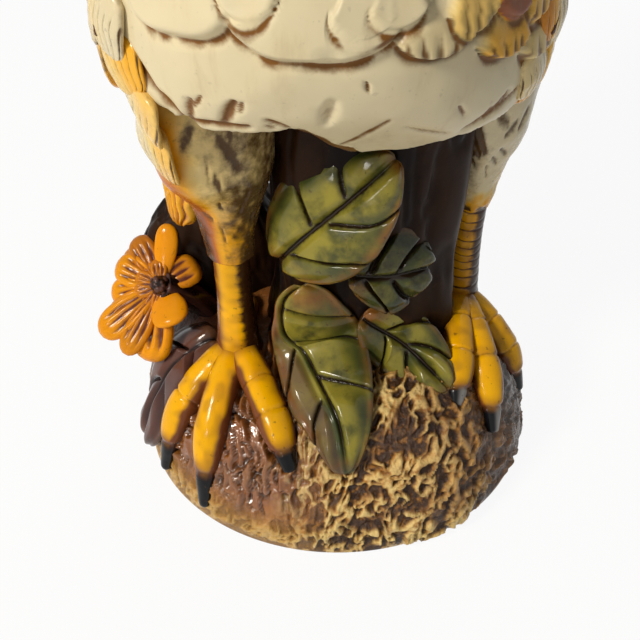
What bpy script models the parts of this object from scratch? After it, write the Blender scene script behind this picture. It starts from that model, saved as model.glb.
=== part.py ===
"""Glazed ceramic rooster on a rocky mound, built from its separate castings and sprigs.

Units are metres, +Z is up and the bird faces -Y. Right and left are the bird's own, so its right is -X.
Every piece is drawn in a frame whose origin is the middle of the mound's foot. At the end one empty
moves the whole bird, so that the origin is the middle of its bounding box on the table.
"""

import math

import bmesh
import bpy
from mathutils import Vector

# Driving dimensions
CLEARANCE = 0.0003          # glaze joint between two fired pieces
WALL = 0.006                # slip-cast wall of the hollow castings

BASE_HALF_WIDTH = 0.090
BASE_HALF_DEPTH = 0.080
BASE_HEIGHT = 0.066         # mound above the table, at the middle
BASE_RISE_LEFT = 0.007      # extra height at the left rim, lost again at the right rim
BASE_LIP = 0.005            # upright edge round the foot
BASE_VENT_RADIUS = 0.008

BELLY_HEIGHT = 0.163        # lowest point of the torso above the table
TORSO_X = -0.006
TORSO_FRONT = -0.080
TORSO_BACK = 0.135
TORSO_HALF_WIDTH = 0.068
TORSO_HALF_HEIGHT = 0.072
BELLY_SQUARE = 3.6          # how boxy the belly is, where 2 is an ellipse
RUMP_RISE = 0.036           # how far the rump's tip sits above the torso's middle
NECK_VENT_RADIUS = 0.030

COLUMN_X = 0.007
COLUMN_Y = 0.008
COLUMN_HALF_WIDTH = 0.034
COLUMN_HALF_DEPTH = 0.030
COLUMN_SQUARE = 3.0
COLUMN_BORE_RADIUS = 0.012

RIGHT_ANKLE = (-0.0430, -0.0150)
LEFT_ANKLE = (0.0550, 0.0150)
THIGH_RADIUS = 0.019
SHANK_RADIUS = 0.0078
SHANK_LENGTH = 0.058        # ankle to the thigh's lower end
TOE_HALF_WIDTH = 0.0072
TOE_HALF_DEPTH = 0.0066
TOE_SINK = 0.0030           # how far a toe's middle line lies above the mound
HIND_TOE_LENGTH = 0.034

LEAF_HALF_DEPTH = 0.0036
LEAF_STANDOFF = 0.0024      # leaf's middle plane in front of what carries it

FLOWER_CENTRE = (-0.0750, 0.0040, 0.0765)
FLOWER_FACE = (-0.70, -0.55, 0.45)
FLOWER_RADIUS = 0.030
FLOWER_INNER_RADIUS = 0.019
FLOWER_LOBES = 11
FLOWER_CUP = 9.0            # rise of a petal per metre of radius squared
PETAL_THICKNESS = 0.0050
FLOWER_BUTTON_RADIUS = 0.0068
STEM_RADIUS = 0.0060

NECK_FOOT_RADIUS = 0.050
NECK_THROAT_RADIUS = 0.0240
HEAD_RADIUS = 0.0255
HEAD_RISE = 0.147           # middle of the head above the middle of the torso
HEAD_Y = -0.052
BEAK_LENGTH = 0.026
BEAK_HALF_WIDTH = 0.0095
COMB_LENGTH = 0.066
COMB_HEIGHT = 0.044
COMB_HALF_DEPTH = 0.0045
COMB_POINTS = 5
WATTLE_LENGTH = 0.036
WATTLE_HALF_WIDTH = 0.0105
EYE_RADIUS = 0.0042

WING_HALF_WIDTH = 0.041
WING_HALF_DEPTH = 0.0060
TAIL_LENGTH = 0.200
TAIL_START_ANGLE = 82.0     # degrees above the horizon at the rump
TAIL_TURN = 165.0           # degrees that the plume bends back over its length
TAIL_HALF_WIDTH = 0.037
TAIL_HALF_DEPTH = 0.0105
SICKLES_PER_SIDE = 4
SICKLE_HALF_DEPTH = 0.0050
SICKLE_GAP = 0.0020

TORSO_Z = BELLY_HEIGHT + TORSO_HALF_HEIGHT
HEAD_HEIGHT = TORSO_Z + HEAD_RISE
FLOWER_AXIS = Vector(FLOWER_FACE).normalized()
UP = Vector((0, 0, 1))
FRONT = Vector((0, -1, 0))


# Curves and sections
def along(values, t):
    """Catmull-Rom curve through evenly spaced numbers or vectors, with t from 0 to 1."""
    spans = len(values) - 1
    i = min(int(t * spans), spans - 1)
    u = t * spans - i
    before, after = values[max(i - 1, 0)], values[min(i + 2, spans)]
    start, end = values[i], values[i + 1]
    return (
        start
        + (end - before) * (0.5 * u)
        + (before * 2 - start * 5 + end * 4 - after) * (0.5 * u * u)
        + ((start - end) * 3 + after - before) * (0.5 * u * u * u)
    )


def ease(t):
    t = min(max(t, 0.0), 1.0)
    return t * t * (3 - 2 * t)


class Form:
    """A rounded body swept along a spine, with blunt ends.

    A square of 2 gives it an elliptical section and more makes it boxy; below is the same for its lower half.
    """

    def __init__(self, spine, half_widths, half_depths, facing, blunt=(0.12, 0.12), square=2.0, below=None):
        self.spine = [Vector(point) for point in spine]
        self.half_widths = half_widths
        self.half_depths = half_depths
        self.facing = Vector(facing)
        self.blunt = blunt
        self.square = square
        self.below = below or square

    def fullness(self, t):
        start, end = self.blunt
        share = min(t / start, (1 - t) / end, 1.0)
        return math.sqrt(max(0.0, 1 - (1 - share) ** 2))

    def section(self, t):
        """Centre, width direction, depth direction and tangent of the section at t."""
        step = 1e-3
        tangent = along(self.spine, min(t + step, 1)) - along(self.spine, max(t - step, 0))
        tangent.normalize()
        across = tangent.cross(self.facing).normalized()
        return along(self.spine, t), across, across.cross(tangent), tangent

    def point(self, t, angle, grow=0.0):
        centre, across, out, _ = self.section(t)
        full = self.fullness(t)
        width = along(self.half_widths, t) * full + grow
        depth = along(self.half_depths, t) * full + grow
        cosine, sine = math.cos(angle), math.sin(angle)
        corner = self.square if sine > 0 else self.below
        reach = (abs(cosine) ** corner + abs(sine) ** corner) ** (-1 / corner)
        return centre + across * (width * reach * cosine) + out * (depth * reach * sine)

    def mesh(self, name, rings, sides, grow=0.0):
        """Closed mesh of the form. A positive grow makes the clearance cutter, a negative one the hollow."""
        verts = [self.spine[0] - self.section(0)[3] * grow]
        for i in range(1, rings):
            t = (1 - math.cos(math.pi * i / rings)) / 2
            verts += [self.point(t, 2 * math.pi * j / sides, grow) for j in range(sides)]
        verts.append(self.spine[-1] + self.section(1)[3] * grow)
        return lathe_mesh(name, verts, rings - 1, sides)


def lathe_mesh(name, verts, rings, sides):
    """Mesh from a pole, rings of equal count and a closing pole.

    It is triangulated here, so that a piece and its clearance cutter have the same facets.
    """
    def at(ring, side):
        return 1 + ring * sides + side % sides

    last = len(verts) - 1
    faces = [(0, at(0, j + 1), at(0, j)) for j in range(sides)]
    for i in range(rings - 1):
        faces += [(at(i, j), at(i, j + 1), at(i + 1, j + 1)) for j in range(sides)]
        faces += [(at(i, j), at(i + 1, j + 1), at(i + 1, j)) for j in range(sides)]
    faces += [(at(rings - 1, j), at(rings - 1, j + 1), last) for j in range(sides)]
    mesh = bpy.data.meshes.new(name)
    mesh.from_pydata([tuple(v) for v in verts], [], faces)
    work = bmesh.new()
    work.from_mesh(mesh)
    bmesh.ops.recalc_face_normals(work, faces=work.faces)
    work.to_mesh(mesh)
    work.free()
    return mesh


# Objects, glazes and fits
ROOSTER = None


def glaze(name, colour, roughness=0.25):
    material = bpy.data.materials.new(name)
    material.use_nodes = True
    shader = material.node_tree.nodes["Principled BSDF"]
    shader.inputs["Base Color"].default_value = (*colour, 1)
    shader.inputs["Roughness"].default_value = roughness
    shader.inputs["Metallic"].default_value = 0.0
    return material


def piece(name, mesh, material):
    mesh.materials.append(material)
    mesh.shade_smooth()
    mesh.set_sharp_from_angle(angle=math.radians(50))
    made = bpy.data.objects.new(name, mesh)
    made.parent = ROOSTER
    bpy.context.scene.collection.objects.link(made)
    return made


def cutter(name, mesh):
    made = bpy.data.objects.new(name, mesh)
    made.parent = ROOSTER
    made.hide_render = True
    made.display_type = "WIRE"
    bpy.context.scene.collection.objects.link(made)
    return made


def fit(made, *cutters):
    """Cuts a piece back from its neighbours, which leaves the clearance between them."""
    for tool in cutters:
        cut = made.modifiers.new(f"clear_of_{tool.name}", "BOOLEAN")
        cut.operation = "DIFFERENCE"
        cut.solver = "EXACT"
        cut.object = tool
    return made


def upright_bore(name, x, y, radius, low, high, sides=16):
    """A vertical round cutter."""
    form = [(radius * math.cos(2 * math.pi * j / sides), radius * math.sin(2 * math.pi * j / sides))
            for j in range(sides)]
    verts = [Vector((x, y, low))]
    for z in (low, high):
        verts += [Vector((x + a, y + b, z)) for a, b in form]
    verts.append(Vector((x, y, high)))
    return cutter(name, lathe_mesh(name, verts, 2, sides))


# Mound
def mound_height(x, y):
    """Height of the mound's plain surface above the table."""
    reach = math.hypot(x / BASE_HALF_WIDTH, y / BASE_HALF_DEPTH)
    crown = BASE_HEIGHT + BASE_RISE_LEFT * x / BASE_HALF_WIDTH
    return BASE_LIP + (crown - BASE_LIP) * max(0.0, 1 - reach**4) ** 0.6


def on_mound(x, y, lift=0.0):
    return Vector((x, y, mound_height(x, y) + lift))


def mound_mesh(name, grow, floor, rings=8, sides=36):
    """The mound as a solid down to floor, offset outwards by grow."""
    wide, deep = BASE_HALF_WIDTH + grow, BASE_HALF_DEPTH + grow
    verts = [Vector((0, 0, mound_height(0, 0) + grow))]
    for i in range(1, rings + 1):
        reach = math.sin(math.pi / 2 * i / rings)
        for j in range(sides):
            angle = 2 * math.pi * j / sides
            c, s = math.cos(angle), math.sin(angle)
            z = mound_height(BASE_HALF_WIDTH * reach * c, BASE_HALF_DEPTH * reach * s)
            verts.append(Vector((wide * reach * c, deep * reach * s, z + grow)))
    for j in range(sides):
        angle = 2 * math.pi * j / sides
        verts.append(Vector((wide * math.cos(angle), deep * math.sin(angle), floor)))
    verts.append(Vector((0, 0, floor)))
    return lathe_mesh(name, verts, rings + 1, sides)


def make_base(stone):
    base = piece("rock_base", mound_mesh("rock_base", 0.0, 0.0), stone)
    hollow = cutter("base_hollow", mound_mesh("base_hollow", -WALL, -WALL, rings=6, sides=24))
    vent = upright_bore("base_vent", COLUMN_X, COLUMN_Y, BASE_VENT_RADIUS, -WALL, BASE_HEIGHT * 2)
    fit(base, hollow, vent)
    return cutter("base_fit", mound_mesh("base_fit", CLEARANCE, -WALL))


# Torso
def torso_form():
    middle = [
        (TORSO_X, TORSO_FRONT + (TORSO_BACK - TORSO_FRONT) * share, TORSO_Z + RUMP_RISE * max(0.0, share - 0.5) * 2)
        for share in (0, 0.2, 0.4, 0.6, 0.8, 1)
    ]
    return Form(
        middle,
        [TORSO_HALF_WIDTH * share for share in (0.80, 1.0, 1.0, 0.94, 0.72, 0.46)],
        [TORSO_HALF_HEIGHT * share for share in (0.56, 0.86, 1.0, 0.94, 0.72, 0.46)],
        UP,
        blunt=(0.26, 0.12),
        below=BELLY_SQUARE,
    )


def make_torso(form, cream):
    torso = piece("torso", form.mesh("torso", 15, 26), cream)
    hollow = cutter("torso_hollow", form.mesh("torso_hollow", 9, 16, -WALL))
    foot = neck_form().spine[0]
    above = TORSO_Z + TORSO_HALF_HEIGHT * 2
    neck_vent = upright_bore("neck_vent", foot.x, foot.y, NECK_VENT_RADIUS, TORSO_Z, above)
    drain = upright_bore("torso_drain", COLUMN_X, COLUMN_Y, BASE_VENT_RADIUS, 0.0, TORSO_Z)
    fit(torso, hollow, neck_vent, drain)
    return cutter("torso_fit", form.mesh("torso_fit", 15, 26, CLEARANCE))


# Plant column and leaves
def column_form():
    low = BASE_HEIGHT - 3 * WALL
    high = BELLY_HEIGHT + 3 * WALL
    spine = [(COLUMN_X, COLUMN_Y, low + (high - low) * share) for share in (0, 0.33, 0.67, 1)]
    flare = (1.2, 1.0, 1.0, 1.05)
    return Form(
        spine,
        [COLUMN_HALF_WIDTH * f for f in flare],
        [COLUMN_HALF_DEPTH * f for f in flare],
        FRONT,
        blunt=(0.04, 0.04),
        square=COLUMN_SQUARE,
    )


def on_column(x, z):
    """A leaf's place in front of the column."""
    across = min(abs(x - COLUMN_X) / COLUMN_HALF_WIDTH, 0.95)
    depth = COLUMN_HALF_DEPTH * (1 - across**COLUMN_SQUARE) ** (1 / COLUMN_SQUARE)
    return Vector((x, COLUMN_Y - depth - LEAF_STANDOFF, z))


def leaf_form(spine, half_width, facing):
    """A leaf with its midrib along the spine."""
    outline = (0.35, 0.85, 1.0, 0.8, 0.3)
    thick = (0.8, 1.0, 1.0, 0.9, 0.7)
    return Form(
        spine,
        [half_width * o for o in outline],
        [LEAF_HALF_DEPTH * d for d in thick],
        facing,
        blunt=(0.1, 0.14),
    )


def make_plant(base_fit, torso_fit, legs, bark, green):
    column = column_form()
    stump = piece("plant_column", column.mesh("plant_column", 7, 20), bark)
    reach = TORSO_Z
    bore = upright_bore("column_bore", COLUMN_X, COLUMN_Y, COLUMN_BORE_RADIUS, 0.0, reach)
    fit(stump, base_fit, torso_fit, bore, *legs)
    column_fit = cutter("column_fit", column.mesh("column_fit", 7, 20, CLEARANCE))
    belly = BELLY_HEIGHT
    foot = BASE_HEIGHT
    low = LEAF_STANDOFF
    leaves = {
        "leaf_upper": ([on_column(-0.0228, belly - 0.051), on_column(-0.0106, belly - 0.033),
                        on_column(0.0030, belly - 0.0155), on_column(0.0191, belly + 0.002)],
                       0.0225, (-0.3, -1, 0.45)),
        "leaf_shaded": ([on_column(0.0041, belly - 0.0510), on_column(0.0196, belly - 0.0490),
                         on_column(0.0353, belly - 0.0530)], 0.0190, (0.5, -1, 0.3)),
        "leaf_front": ([on_column(-0.0150, foot + 0.0370), on_column(-0.0115, foot + 0.0215),
                        on_column(-0.0080, foot + 0.0080), on_mound(-0.0038, -0.0412, low),
                        on_mound(-0.0002, -0.0560, low), on_mound(0.0026, -0.0695, low)],
                       0.0180, (-0.15, -1, 0.75)),
        "leaf_side": ([on_column(0.0097, foot + 0.0221), on_column(0.0264, foot + 0.0062),
                       on_mound(0.0461, -0.0396, low)], 0.0150, (0.25, -1, 0.7)),
    }
    done = []
    for name, (route, half_width, facing) in leaves.items():
        form = leaf_form(route, half_width, facing)
        leaf = piece(name, form.mesh(name, 8, 12), green)
        fit(leaf, base_fit, column_fit, torso_fit, *legs, *done)
        done.append(cutter(f"{name}_fit", form.mesh(f"{name}_fit", 8, 12, CLEARANCE)))
    return column_fit


def make_bank(others, bark):
    """The bank of dark clay that backs the right leg and the flower, beside the column."""
    left = COLUMN_X - COLUMN_HALF_WIDTH
    back = COLUMN_Y + COLUMN_HALF_DEPTH
    spine = [(left + 0.003, back - 0.004, BASE_HEIGHT + 0.030), (left - 0.015, back - 0.003, BASE_HEIGHT + 0.020),
             (left - 0.033, back - 0.006, BASE_HEIGHT + 0.008), (left - 0.051, back - 0.012, BASE_HEIGHT - 0.004)]
    form = Form(spine, [0.012, 0.013, 0.013, 0.011], [0.046, 0.042, 0.036, 0.032], UP, blunt=(0.10, 0.22), square=3.0)
    fit(piece("plant_bank", form.mesh("plant_bank", 8, 16), bark), *others)


# Legs and feet
def leg_forms(side, ankle, toe_tips):
    """Thigh, shank and toes of one leg. Each toe tip is a plan position on the mound."""
    x, y = ankle
    ground = mound_height(x, y)
    knee = ground + SHANK_LENGTH
    top = max(BELLY_HEIGHT + THIGH_RADIUS, knee + 2 * THIGH_RADIUS)
    thigh = Form(
        [(x, y, knee - 0.004), (x, y, knee + (top - knee) * 0.3), (x, y + 0.002, knee + (top - knee) * 0.65),
         (x, y + 0.004, top + THIGH_RADIUS)],
        [SHANK_RADIUS * 1.12, SHANK_RADIUS * 1.55, THIGH_RADIUS, THIGH_RADIUS * 1.1],
        [SHANK_RADIUS * 1.15, SHANK_RADIUS * 1.7, THIGH_RADIUS * 1.1, THIGH_RADIUS * 1.3],
        FRONT,
        blunt=(0.05, 0.1),
    )
    shank = Form(
        [(x, y, ground - 0.006), (x, y, ground + SHANK_LENGTH * 0.35), (x, y, ground + SHANK_LENGTH * 0.7),
         (x, y, knee + 0.006)],
        [SHANK_RADIUS * f for f in (1.35, 1.05, 0.95, 1.0)],
        [SHANK_RADIUS * f for f in (1.35, 1.05, 0.95, 1.0)],
        FRONT,
        blunt=(0.05, 0.05),
    )
    toes = {}
    for toe, (tip_x, tip_y) in toe_tips.items():
        spine = []
        for share in (0.08, 0.3, 0.55, 0.8, 1):
            rise = TOE_SINK * (1 - share * 0.6)
            spine.append(on_mound(x + (tip_x - x) * share, y + (tip_y - y) * share, rise))
        toes[f"{side}_toe_{toe}"] = Form(
            spine,
            [TOE_HALF_WIDTH * f for f in (0.95, 1.0, 1.0, 0.9, 0.3)],
            [TOE_HALF_DEPTH * f for f in (1.0, 1.05, 1.0, 0.85, 0.35)],
            UP,
            blunt=(0.06, 0.04),
        )
    return thigh, shank, toes


def make_leg(side, ankle, toe_tips, base_fit, torso_fit, plume, amber):
    x, y = ankle
    toe_tips = {**toe_tips, "hind": (x, y + HIND_TOE_LENGTH)}
    thigh, shank, toes = leg_forms(side, ankle, toe_tips)
    fit(piece(f"{side}_thigh", thigh.mesh(f"{side}_thigh", 8, 16), plume), torso_fit)
    thigh_fit = cutter(f"{side}_thigh_fit", thigh.mesh(f"{side}_thigh_fit", 8, 16, CLEARANCE))
    fit(piece(f"{side}_shank", shank.mesh(f"{side}_shank", 6, 12), amber), base_fit, thigh_fit)
    made = [thigh_fit, cutter(f"{side}_shank_fit", shank.mesh(f"{side}_shank_fit", 6, 12, CLEARANCE))]
    for name, form in toes.items():
        fit(piece(name, form.mesh(name, 8, 10), amber), base_fit, *made[1:])
        made.append(cutter(f"{name}_fit", form.mesh(f"{name}_fit", 8, 10, CLEARANCE)))
    return made


# Flower
def corolla_mesh(name, radius, back, thickness, lobes, rings=4):
    """A cupped ring of petals in one piece. back is how far its hollow back sits along the flower's axis."""
    sides = lobes * 4
    across = FLOWER_AXIS.cross(UP).normalized()
    up = across.cross(FLOWER_AXIS)
    centre = Vector(FLOWER_CENTRE)

    def place(reach, angle, height):
        lobe = 0.80 + 0.20 * abs(math.cos(lobes * angle / 2)) ** 0.7
        r = radius * reach * (1 - (1 - lobe) * reach * reach)
        rise = back + FLOWER_CUP * r * r + height
        return centre + (across * math.cos(angle) + up * math.sin(angle)) * r + FLOWER_AXIS * rise

    verts = [place(0, 0, 0)]
    for i in range(1, rings + 1):
        verts += [place(i / rings, 2 * math.pi * j / sides, 0) for j in range(sides)]
    for i in range(rings, 0, -1):
        thin = thickness * (1 - 0.75 * (i / rings) ** 4)
        verts += [place(i / rings, 2 * math.pi * j / sides, thin) for j in range(sides)]
    verts.append(place(0, 0, thickness))
    return lathe_mesh(name, verts, 2 * rings, sides)


def make_flower(base_fit, others, orange, brown):
    centre = Vector(FLOWER_CENTRE)
    outer = piece("flower_outer_petals", corolla_mesh("flower_outer_petals", FLOWER_RADIUS, 0.0,
                                                      PETAL_THICKNESS, FLOWER_LOBES), orange)
    outer_fit = cutter("flower_fit", corolla_mesh("flower_fit", FLOWER_RADIUS + CLEARANCE, -CLEARANCE,
                                                  PETAL_THICKNESS + 2 * CLEARANCE, FLOWER_LOBES))
    seat = PETAL_THICKNESS + CLEARANCE
    inner_mesh = corolla_mesh("flower_inner_petals", FLOWER_INNER_RADIUS, seat, PETAL_THICKNESS, FLOWER_LOBES - 2, 3)
    piece("flower_inner_petals", inner_mesh, orange)
    seat += PETAL_THICKNESS + CLEARANCE
    inner_fit = cutter("flower_inner_fit", corolla_mesh(
        "flower_inner_fit", FLOWER_INNER_RADIUS + CLEARANCE, PETAL_THICKNESS, PETAL_THICKNESS + 2 * CLEARANCE,
        FLOWER_LOBES - 2, 3))
    middle = centre + FLOWER_AXIS * seat
    button = Form(
        [middle - FLOWER_AXIS * FLOWER_BUTTON_RADIUS * 0.6, middle, middle + FLOWER_AXIS * FLOWER_BUTTON_RADIUS * 0.7],
        [FLOWER_BUTTON_RADIUS] * 3, [FLOWER_BUTTON_RADIUS] * 3, UP, blunt=(0.3, 0.6))
    fit(piece("flower_centre", button.mesh("flower_centre", 6, 12), brown), inner_fit)
    root = on_mound(FLOWER_CENTRE[0] * 0.72, FLOWER_CENTRE[1] + 0.012, -0.004)
    back = centre - FLOWER_AXIS * 0.002
    bend = (root + back) / 2 + UP * 0.004
    stem = Form([root, bend, back + FLOWER_AXIS * 0.004], [STEM_RADIUS] * 3, [STEM_RADIUS] * 3, FRONT,
                blunt=(0.05, 0.05))
    fit(piece("flower_stem", stem.mesh("flower_stem", 6, 10), brown), base_fit, outer_fit, *others)
    outer_cuts = [tool for tool in others if "thigh" in tool.name or "plume" in tool.name]
    fit(outer, *outer_cuts)
    stem_fit = cutter("flower_stem_fit", stem.mesh("flower_stem_fit", 6, 10, CLEARANCE))
    return [outer_fit, stem_fit]


def make_ground_leaf(base_fit, others, brown):
    """The dark leaf that lies on the mound under the flower."""
    start, end = Vector((-0.0545, -0.0080)), Vector((-0.0850, -0.0180))
    spine = [on_mound(*start.lerp(end, share), LEAF_STANDOFF) for share in (0, 0.33, 0.67, 1)]
    form = Form(spine, [0.010, 0.0165, 0.0155, 0.006], [LEAF_HALF_DEPTH] * 4, UP, blunt=(0.1, 0.14))
    fit(piece("leaf_ground", form.mesh("leaf_ground", 8, 12), brown), base_fit, *others)


# Neck, head and face
def neck_form():
    foot_y = TORSO_FRONT + 0.058
    low = TORSO_Z + TORSO_HALF_HEIGHT * 0.42
    spine = []
    for share in (0, 0.25, 0.5, 0.75, 1):
        y = foot_y + (HEAD_Y - foot_y) * ease(share)
        z = low + (HEAD_HEIGHT + HEAD_RADIUS - low) * share
        spine.append((TORSO_X, y, z))
    radii = [NECK_FOOT_RADIUS, NECK_FOOT_RADIUS * 0.93, NECK_THROAT_RADIUS * 1.25, NECK_THROAT_RADIUS, HEAD_RADIUS]
    return Form(spine, radii, radii, FRONT, blunt=(0.10, 0.22))


def make_head(torso_fit, cream, red, horn, dark):
    neck = neck_form()
    casting = piece("neck_and_head", neck.mesh("neck_and_head", 13, 20), cream)
    hollow = cutter("neck_hollow", neck.mesh("neck_hollow", 8, 14, -WALL))
    fit(casting, torso_fit, hollow)
    head_fit = cutter("head_fit", neck.mesh("head_fit", 13, 20, CLEARANCE))
    face = Vector((TORSO_X, HEAD_Y, HEAD_HEIGHT))
    front = face + FRONT * (HEAD_RADIUS * 0.75)
    bill = Form(
        [front, front + FRONT * (BEAK_LENGTH * 0.55) + UP * 0.001, front + FRONT * BEAK_LENGTH - UP * 0.008],
        [BEAK_HALF_WIDTH, BEAK_HALF_WIDTH * 0.7, BEAK_HALF_WIDTH * 0.25],
        [BEAK_HALF_WIDTH * 0.8, BEAK_HALF_WIDTH * 0.62, BEAK_HALF_WIDTH * 0.25], UP, blunt=(0.05, 0.1))
    fit(piece("beak_upper", bill.mesh("beak_upper", 6, 10), horn), head_fit)
    bill_fit = cutter("beak_fit", bill.mesh("beak_fit", 6, 10, CLEARANCE))
    chin = front - UP * (BEAK_HALF_WIDTH * 0.85)
    jaw = Form(
        [chin, chin + FRONT * (BEAK_LENGTH * 0.4), chin + FRONT * (BEAK_LENGTH * 0.72) - UP * 0.002],
        [BEAK_HALF_WIDTH * 0.8, BEAK_HALF_WIDTH * 0.6, BEAK_HALF_WIDTH * 0.22],
        [BEAK_HALF_WIDTH * 0.5, BEAK_HALF_WIDTH * 0.42, BEAK_HALF_WIDTH * 0.2], UP, blunt=(0.05, 0.1))
    fit(piece("beak_lower", jaw.mesh("beak_lower", 6, 10), horn), head_fit, bill_fit)
    jaw_fit = cutter("jaw_fit", jaw.mesh("jaw_fit", 6, 10, CLEARANCE))
    comb = piece("comb", comb_mesh(face), red)
    soft = comb.modifiers.new("soft_edges", "BEVEL")
    soft.width = COMB_HALF_DEPTH * 0.4
    soft.segments = 1
    soft.limit_method = "ANGLE"
    soft.angle_limit = math.radians(60)
    fit(comb, head_fit, bill_fit)
    wattle_fits = []
    for side, sign in (("right", -1), ("left", 1)):
        hang = face + Vector((sign * WATTLE_HALF_WIDTH * 0.78, -HEAD_RADIUS * 0.86, -HEAD_RADIUS * 0.45))
        wattle = Form(
            [hang, hang - UP * (WATTLE_LENGTH * 0.5) + FRONT * 0.004, hang - UP * WATTLE_LENGTH + FRONT * 0.003],
            [WATTLE_HALF_WIDTH * f for f in (0.5, 0.95, 0.9)], [WATTLE_HALF_WIDTH * f for f in (0.35, 0.62, 0.6)],
            (sign, 0, 0), blunt=(0.15, 0.3))
        made = piece(f"{side}_wattle", wattle.mesh(f"{side}_wattle", 7, 10), red)
        fit(made, head_fit, jaw_fit, bill_fit, *wattle_fits)
        wattle_fits.append(cutter(f"{side}_wattle_fit", wattle.mesh(f"{side}_wattle_fit", 7, 10, CLEARANCE)))
        lobe_at = face + Vector((sign * HEAD_RADIUS * 0.97, HEAD_RADIUS * 0.28, -HEAD_RADIUS * 0.35))
        lobe = Form([lobe_at + UP * 0.010, lobe_at, lobe_at - UP * 0.012], [0.006, 0.0075, 0.006],
                    [0.0035, 0.0040, 0.0035], (sign, 0, 0), blunt=(0.3, 0.35))
        made = piece(f"{side}_ear_lobe", lobe.mesh(f"{side}_ear_lobe", 6, 10), red)
        fit(made, head_fit, wattle_fits[-1])
        eye_at = face + Vector((sign * HEAD_RADIUS * 0.76, -HEAD_RADIUS * 0.42, HEAD_RADIUS * 0.18))
        eye = Form([eye_at - FRONT * EYE_RADIUS, eye_at, eye_at + FRONT * EYE_RADIUS], [EYE_RADIUS] * 3,
                   [EYE_RADIUS] * 3, UP, blunt=(0.5, 0.5))
        fit(piece(f"{side}_eye", eye.mesh(f"{side}_eye", 6, 10), dark), head_fit)
    return head_fit


def comb_mesh(face, steps=30):
    """Upright blade on the crown, with rounded points along its top edge."""
    low = face.z + HEAD_RADIUS * 0.55
    start = face.y - HEAD_RADIUS * 0.95
    top, bottom = [], []
    for i in range(steps + 1):
        share = i / steps
        swell = math.sin(math.pi * (0.12 + 0.80 * share)) ** 0.6
        tooth = 0.62 + 0.38 * abs(math.sin(math.pi * COMB_POINTS * share)) ** 0.8
        top.append((start + COMB_LENGTH * share + 0.010 * tooth * share, low + COMB_HEIGHT * swell * tooth))
    for i in range(1, 8):
        share = 1 - i / 8
        bottom.append((start + COMB_LENGTH * share, low - 0.004 * math.sin(math.pi * share)))
    outline = top + bottom
    work = bmesh.new()
    ring = [work.verts.new((TORSO_X - COMB_HALF_DEPTH, y, z)) for y, z in outline]
    blade = work.faces.new(ring)
    made = bmesh.ops.extrude_face_region(work, geom=[blade])
    moved = [v for v in made["geom"] if isinstance(v, bmesh.types.BMVert)]
    bmesh.ops.translate(work, verts=moved, vec=(2 * COMB_HALF_DEPTH, 0, 0))
    bmesh.ops.triangulate(work, faces=work.faces)
    bmesh.ops.recalc_face_normals(work, faces=work.faces)
    mesh = bpy.data.meshes.new("comb")
    work.to_mesh(mesh)
    work.free()
    return mesh


# Wings, tail and flank plume
def make_wings(torso, under, plume):
    made = []
    for side, sign in (("right", -1), ("left", 1)):
        spine = []
        for t, lift in zip((0.20, 0.38, 0.56, 0.75, 0.90), (6, -8, -8, 0, 10)):
            angle = math.radians(lift if sign > 0 else 180 - lift)
            spine.append(torso.point(t, angle))
        wing = Form(
            spine,
            [WING_HALF_WIDTH * f for f in (0.62, 1.0, 0.98, 0.72, 0.35)],
            [WING_HALF_DEPTH * f for f in (0.9, 1.0, 1.0, 0.9, 0.7)],
            (sign, 0, 0.05), blunt=(0.16, 0.2))
        fit(piece(f"{side}_wing", wing.mesh(f"{side}_wing", 10, 16), plume), *under)
        made.append(cutter(f"{side}_wing_fit", wing.mesh(f"{side}_wing_fit", 10, 16, CLEARANCE)))
    return made


def tail_line(share, offset=0.0):
    """Y and z on the plume's middle line at a share of its length, moved in its own plane by offset."""
    steps = 40
    y, z = TORSO_BACK - 0.030, TORSO_Z + RUMP_RISE + 0.010
    heading = math.radians(TAIL_START_ANGLE)
    for i in range(steps):
        middle = share * (i + 0.5) / steps
        heading = math.radians(TAIL_START_ANGLE - TAIL_TURN * middle**1.7)
        y += math.cos(heading) * TAIL_LENGTH * share / steps
        z += math.sin(heading) * TAIL_LENGTH * share / steps
    return y - math.sin(heading) * offset, z + math.cos(heading) * offset


def make_tail(torso_fit, others, plume):
    side_on = Vector((1, 0, 0))
    core = Form(
        [(TORSO_X, *tail_line(share)) for share in (0, 0.25, 0.5, 0.75, 0.95)],
        [TAIL_HALF_WIDTH * f for f in (0.62, 0.86, 1.0, 0.92, 0.45)],
        [TAIL_HALF_DEPTH * f for f in (1.35, 1.1, 1.0, 0.9, 0.55)], side_on, blunt=(0.06, 0.2))
    fit(piece("tail_core", core.mesh("tail_core", 10, 16), plume), torso_fit, *others)
    done = [torso_fit, cutter("tail_core_fit", core.mesh("tail_core_fit", 10, 16, CLEARANCE)), *others]
    pitch = 2 * TAIL_HALF_WIDTH / SICKLES_PER_SIDE
    for side, sign in (("right", -1), ("left", 1)):
        for i in range(SICKLES_PER_SIDE):
            offset = TAIL_HALF_WIDTH - pitch * (i + 0.5)
            reach = 1.08 - 0.10 * i
            spine, widths = [], []
            for step in (0.10, 0.32, 0.55, 0.78, 1):
                share = reach * step
                spread = 0.45 + 0.55 * ease(share * 1.6)
                y, z = tail_line(share, offset * spread)
                out = along(core.half_depths, min(share, 0.9)) * math.sqrt(1 - (offset / TAIL_HALF_WIDTH) ** 2)
                spine.append((TORSO_X + sign * (out + SICKLE_HALF_DEPTH * 0.25), y, z))
                taper = 1 - 0.55 * max(0.0, step - 0.6) / 0.4
                widths.append((pitch - SICKLE_GAP) / 2 * spread * taper)
            sickle = Form(spine, widths, [SICKLE_HALF_DEPTH] * 5, side_on * sign, blunt=(0.06, 0.2))
            name = f"{side}_sickle_{i + 1}"
            fit(piece(name, sickle.mesh(name, 10, 8), plume), *done)
            done.append(cutter(f"{name}_fit", sickle.mesh(f"{name}_fit", 10, 8, CLEARANCE)))


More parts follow.
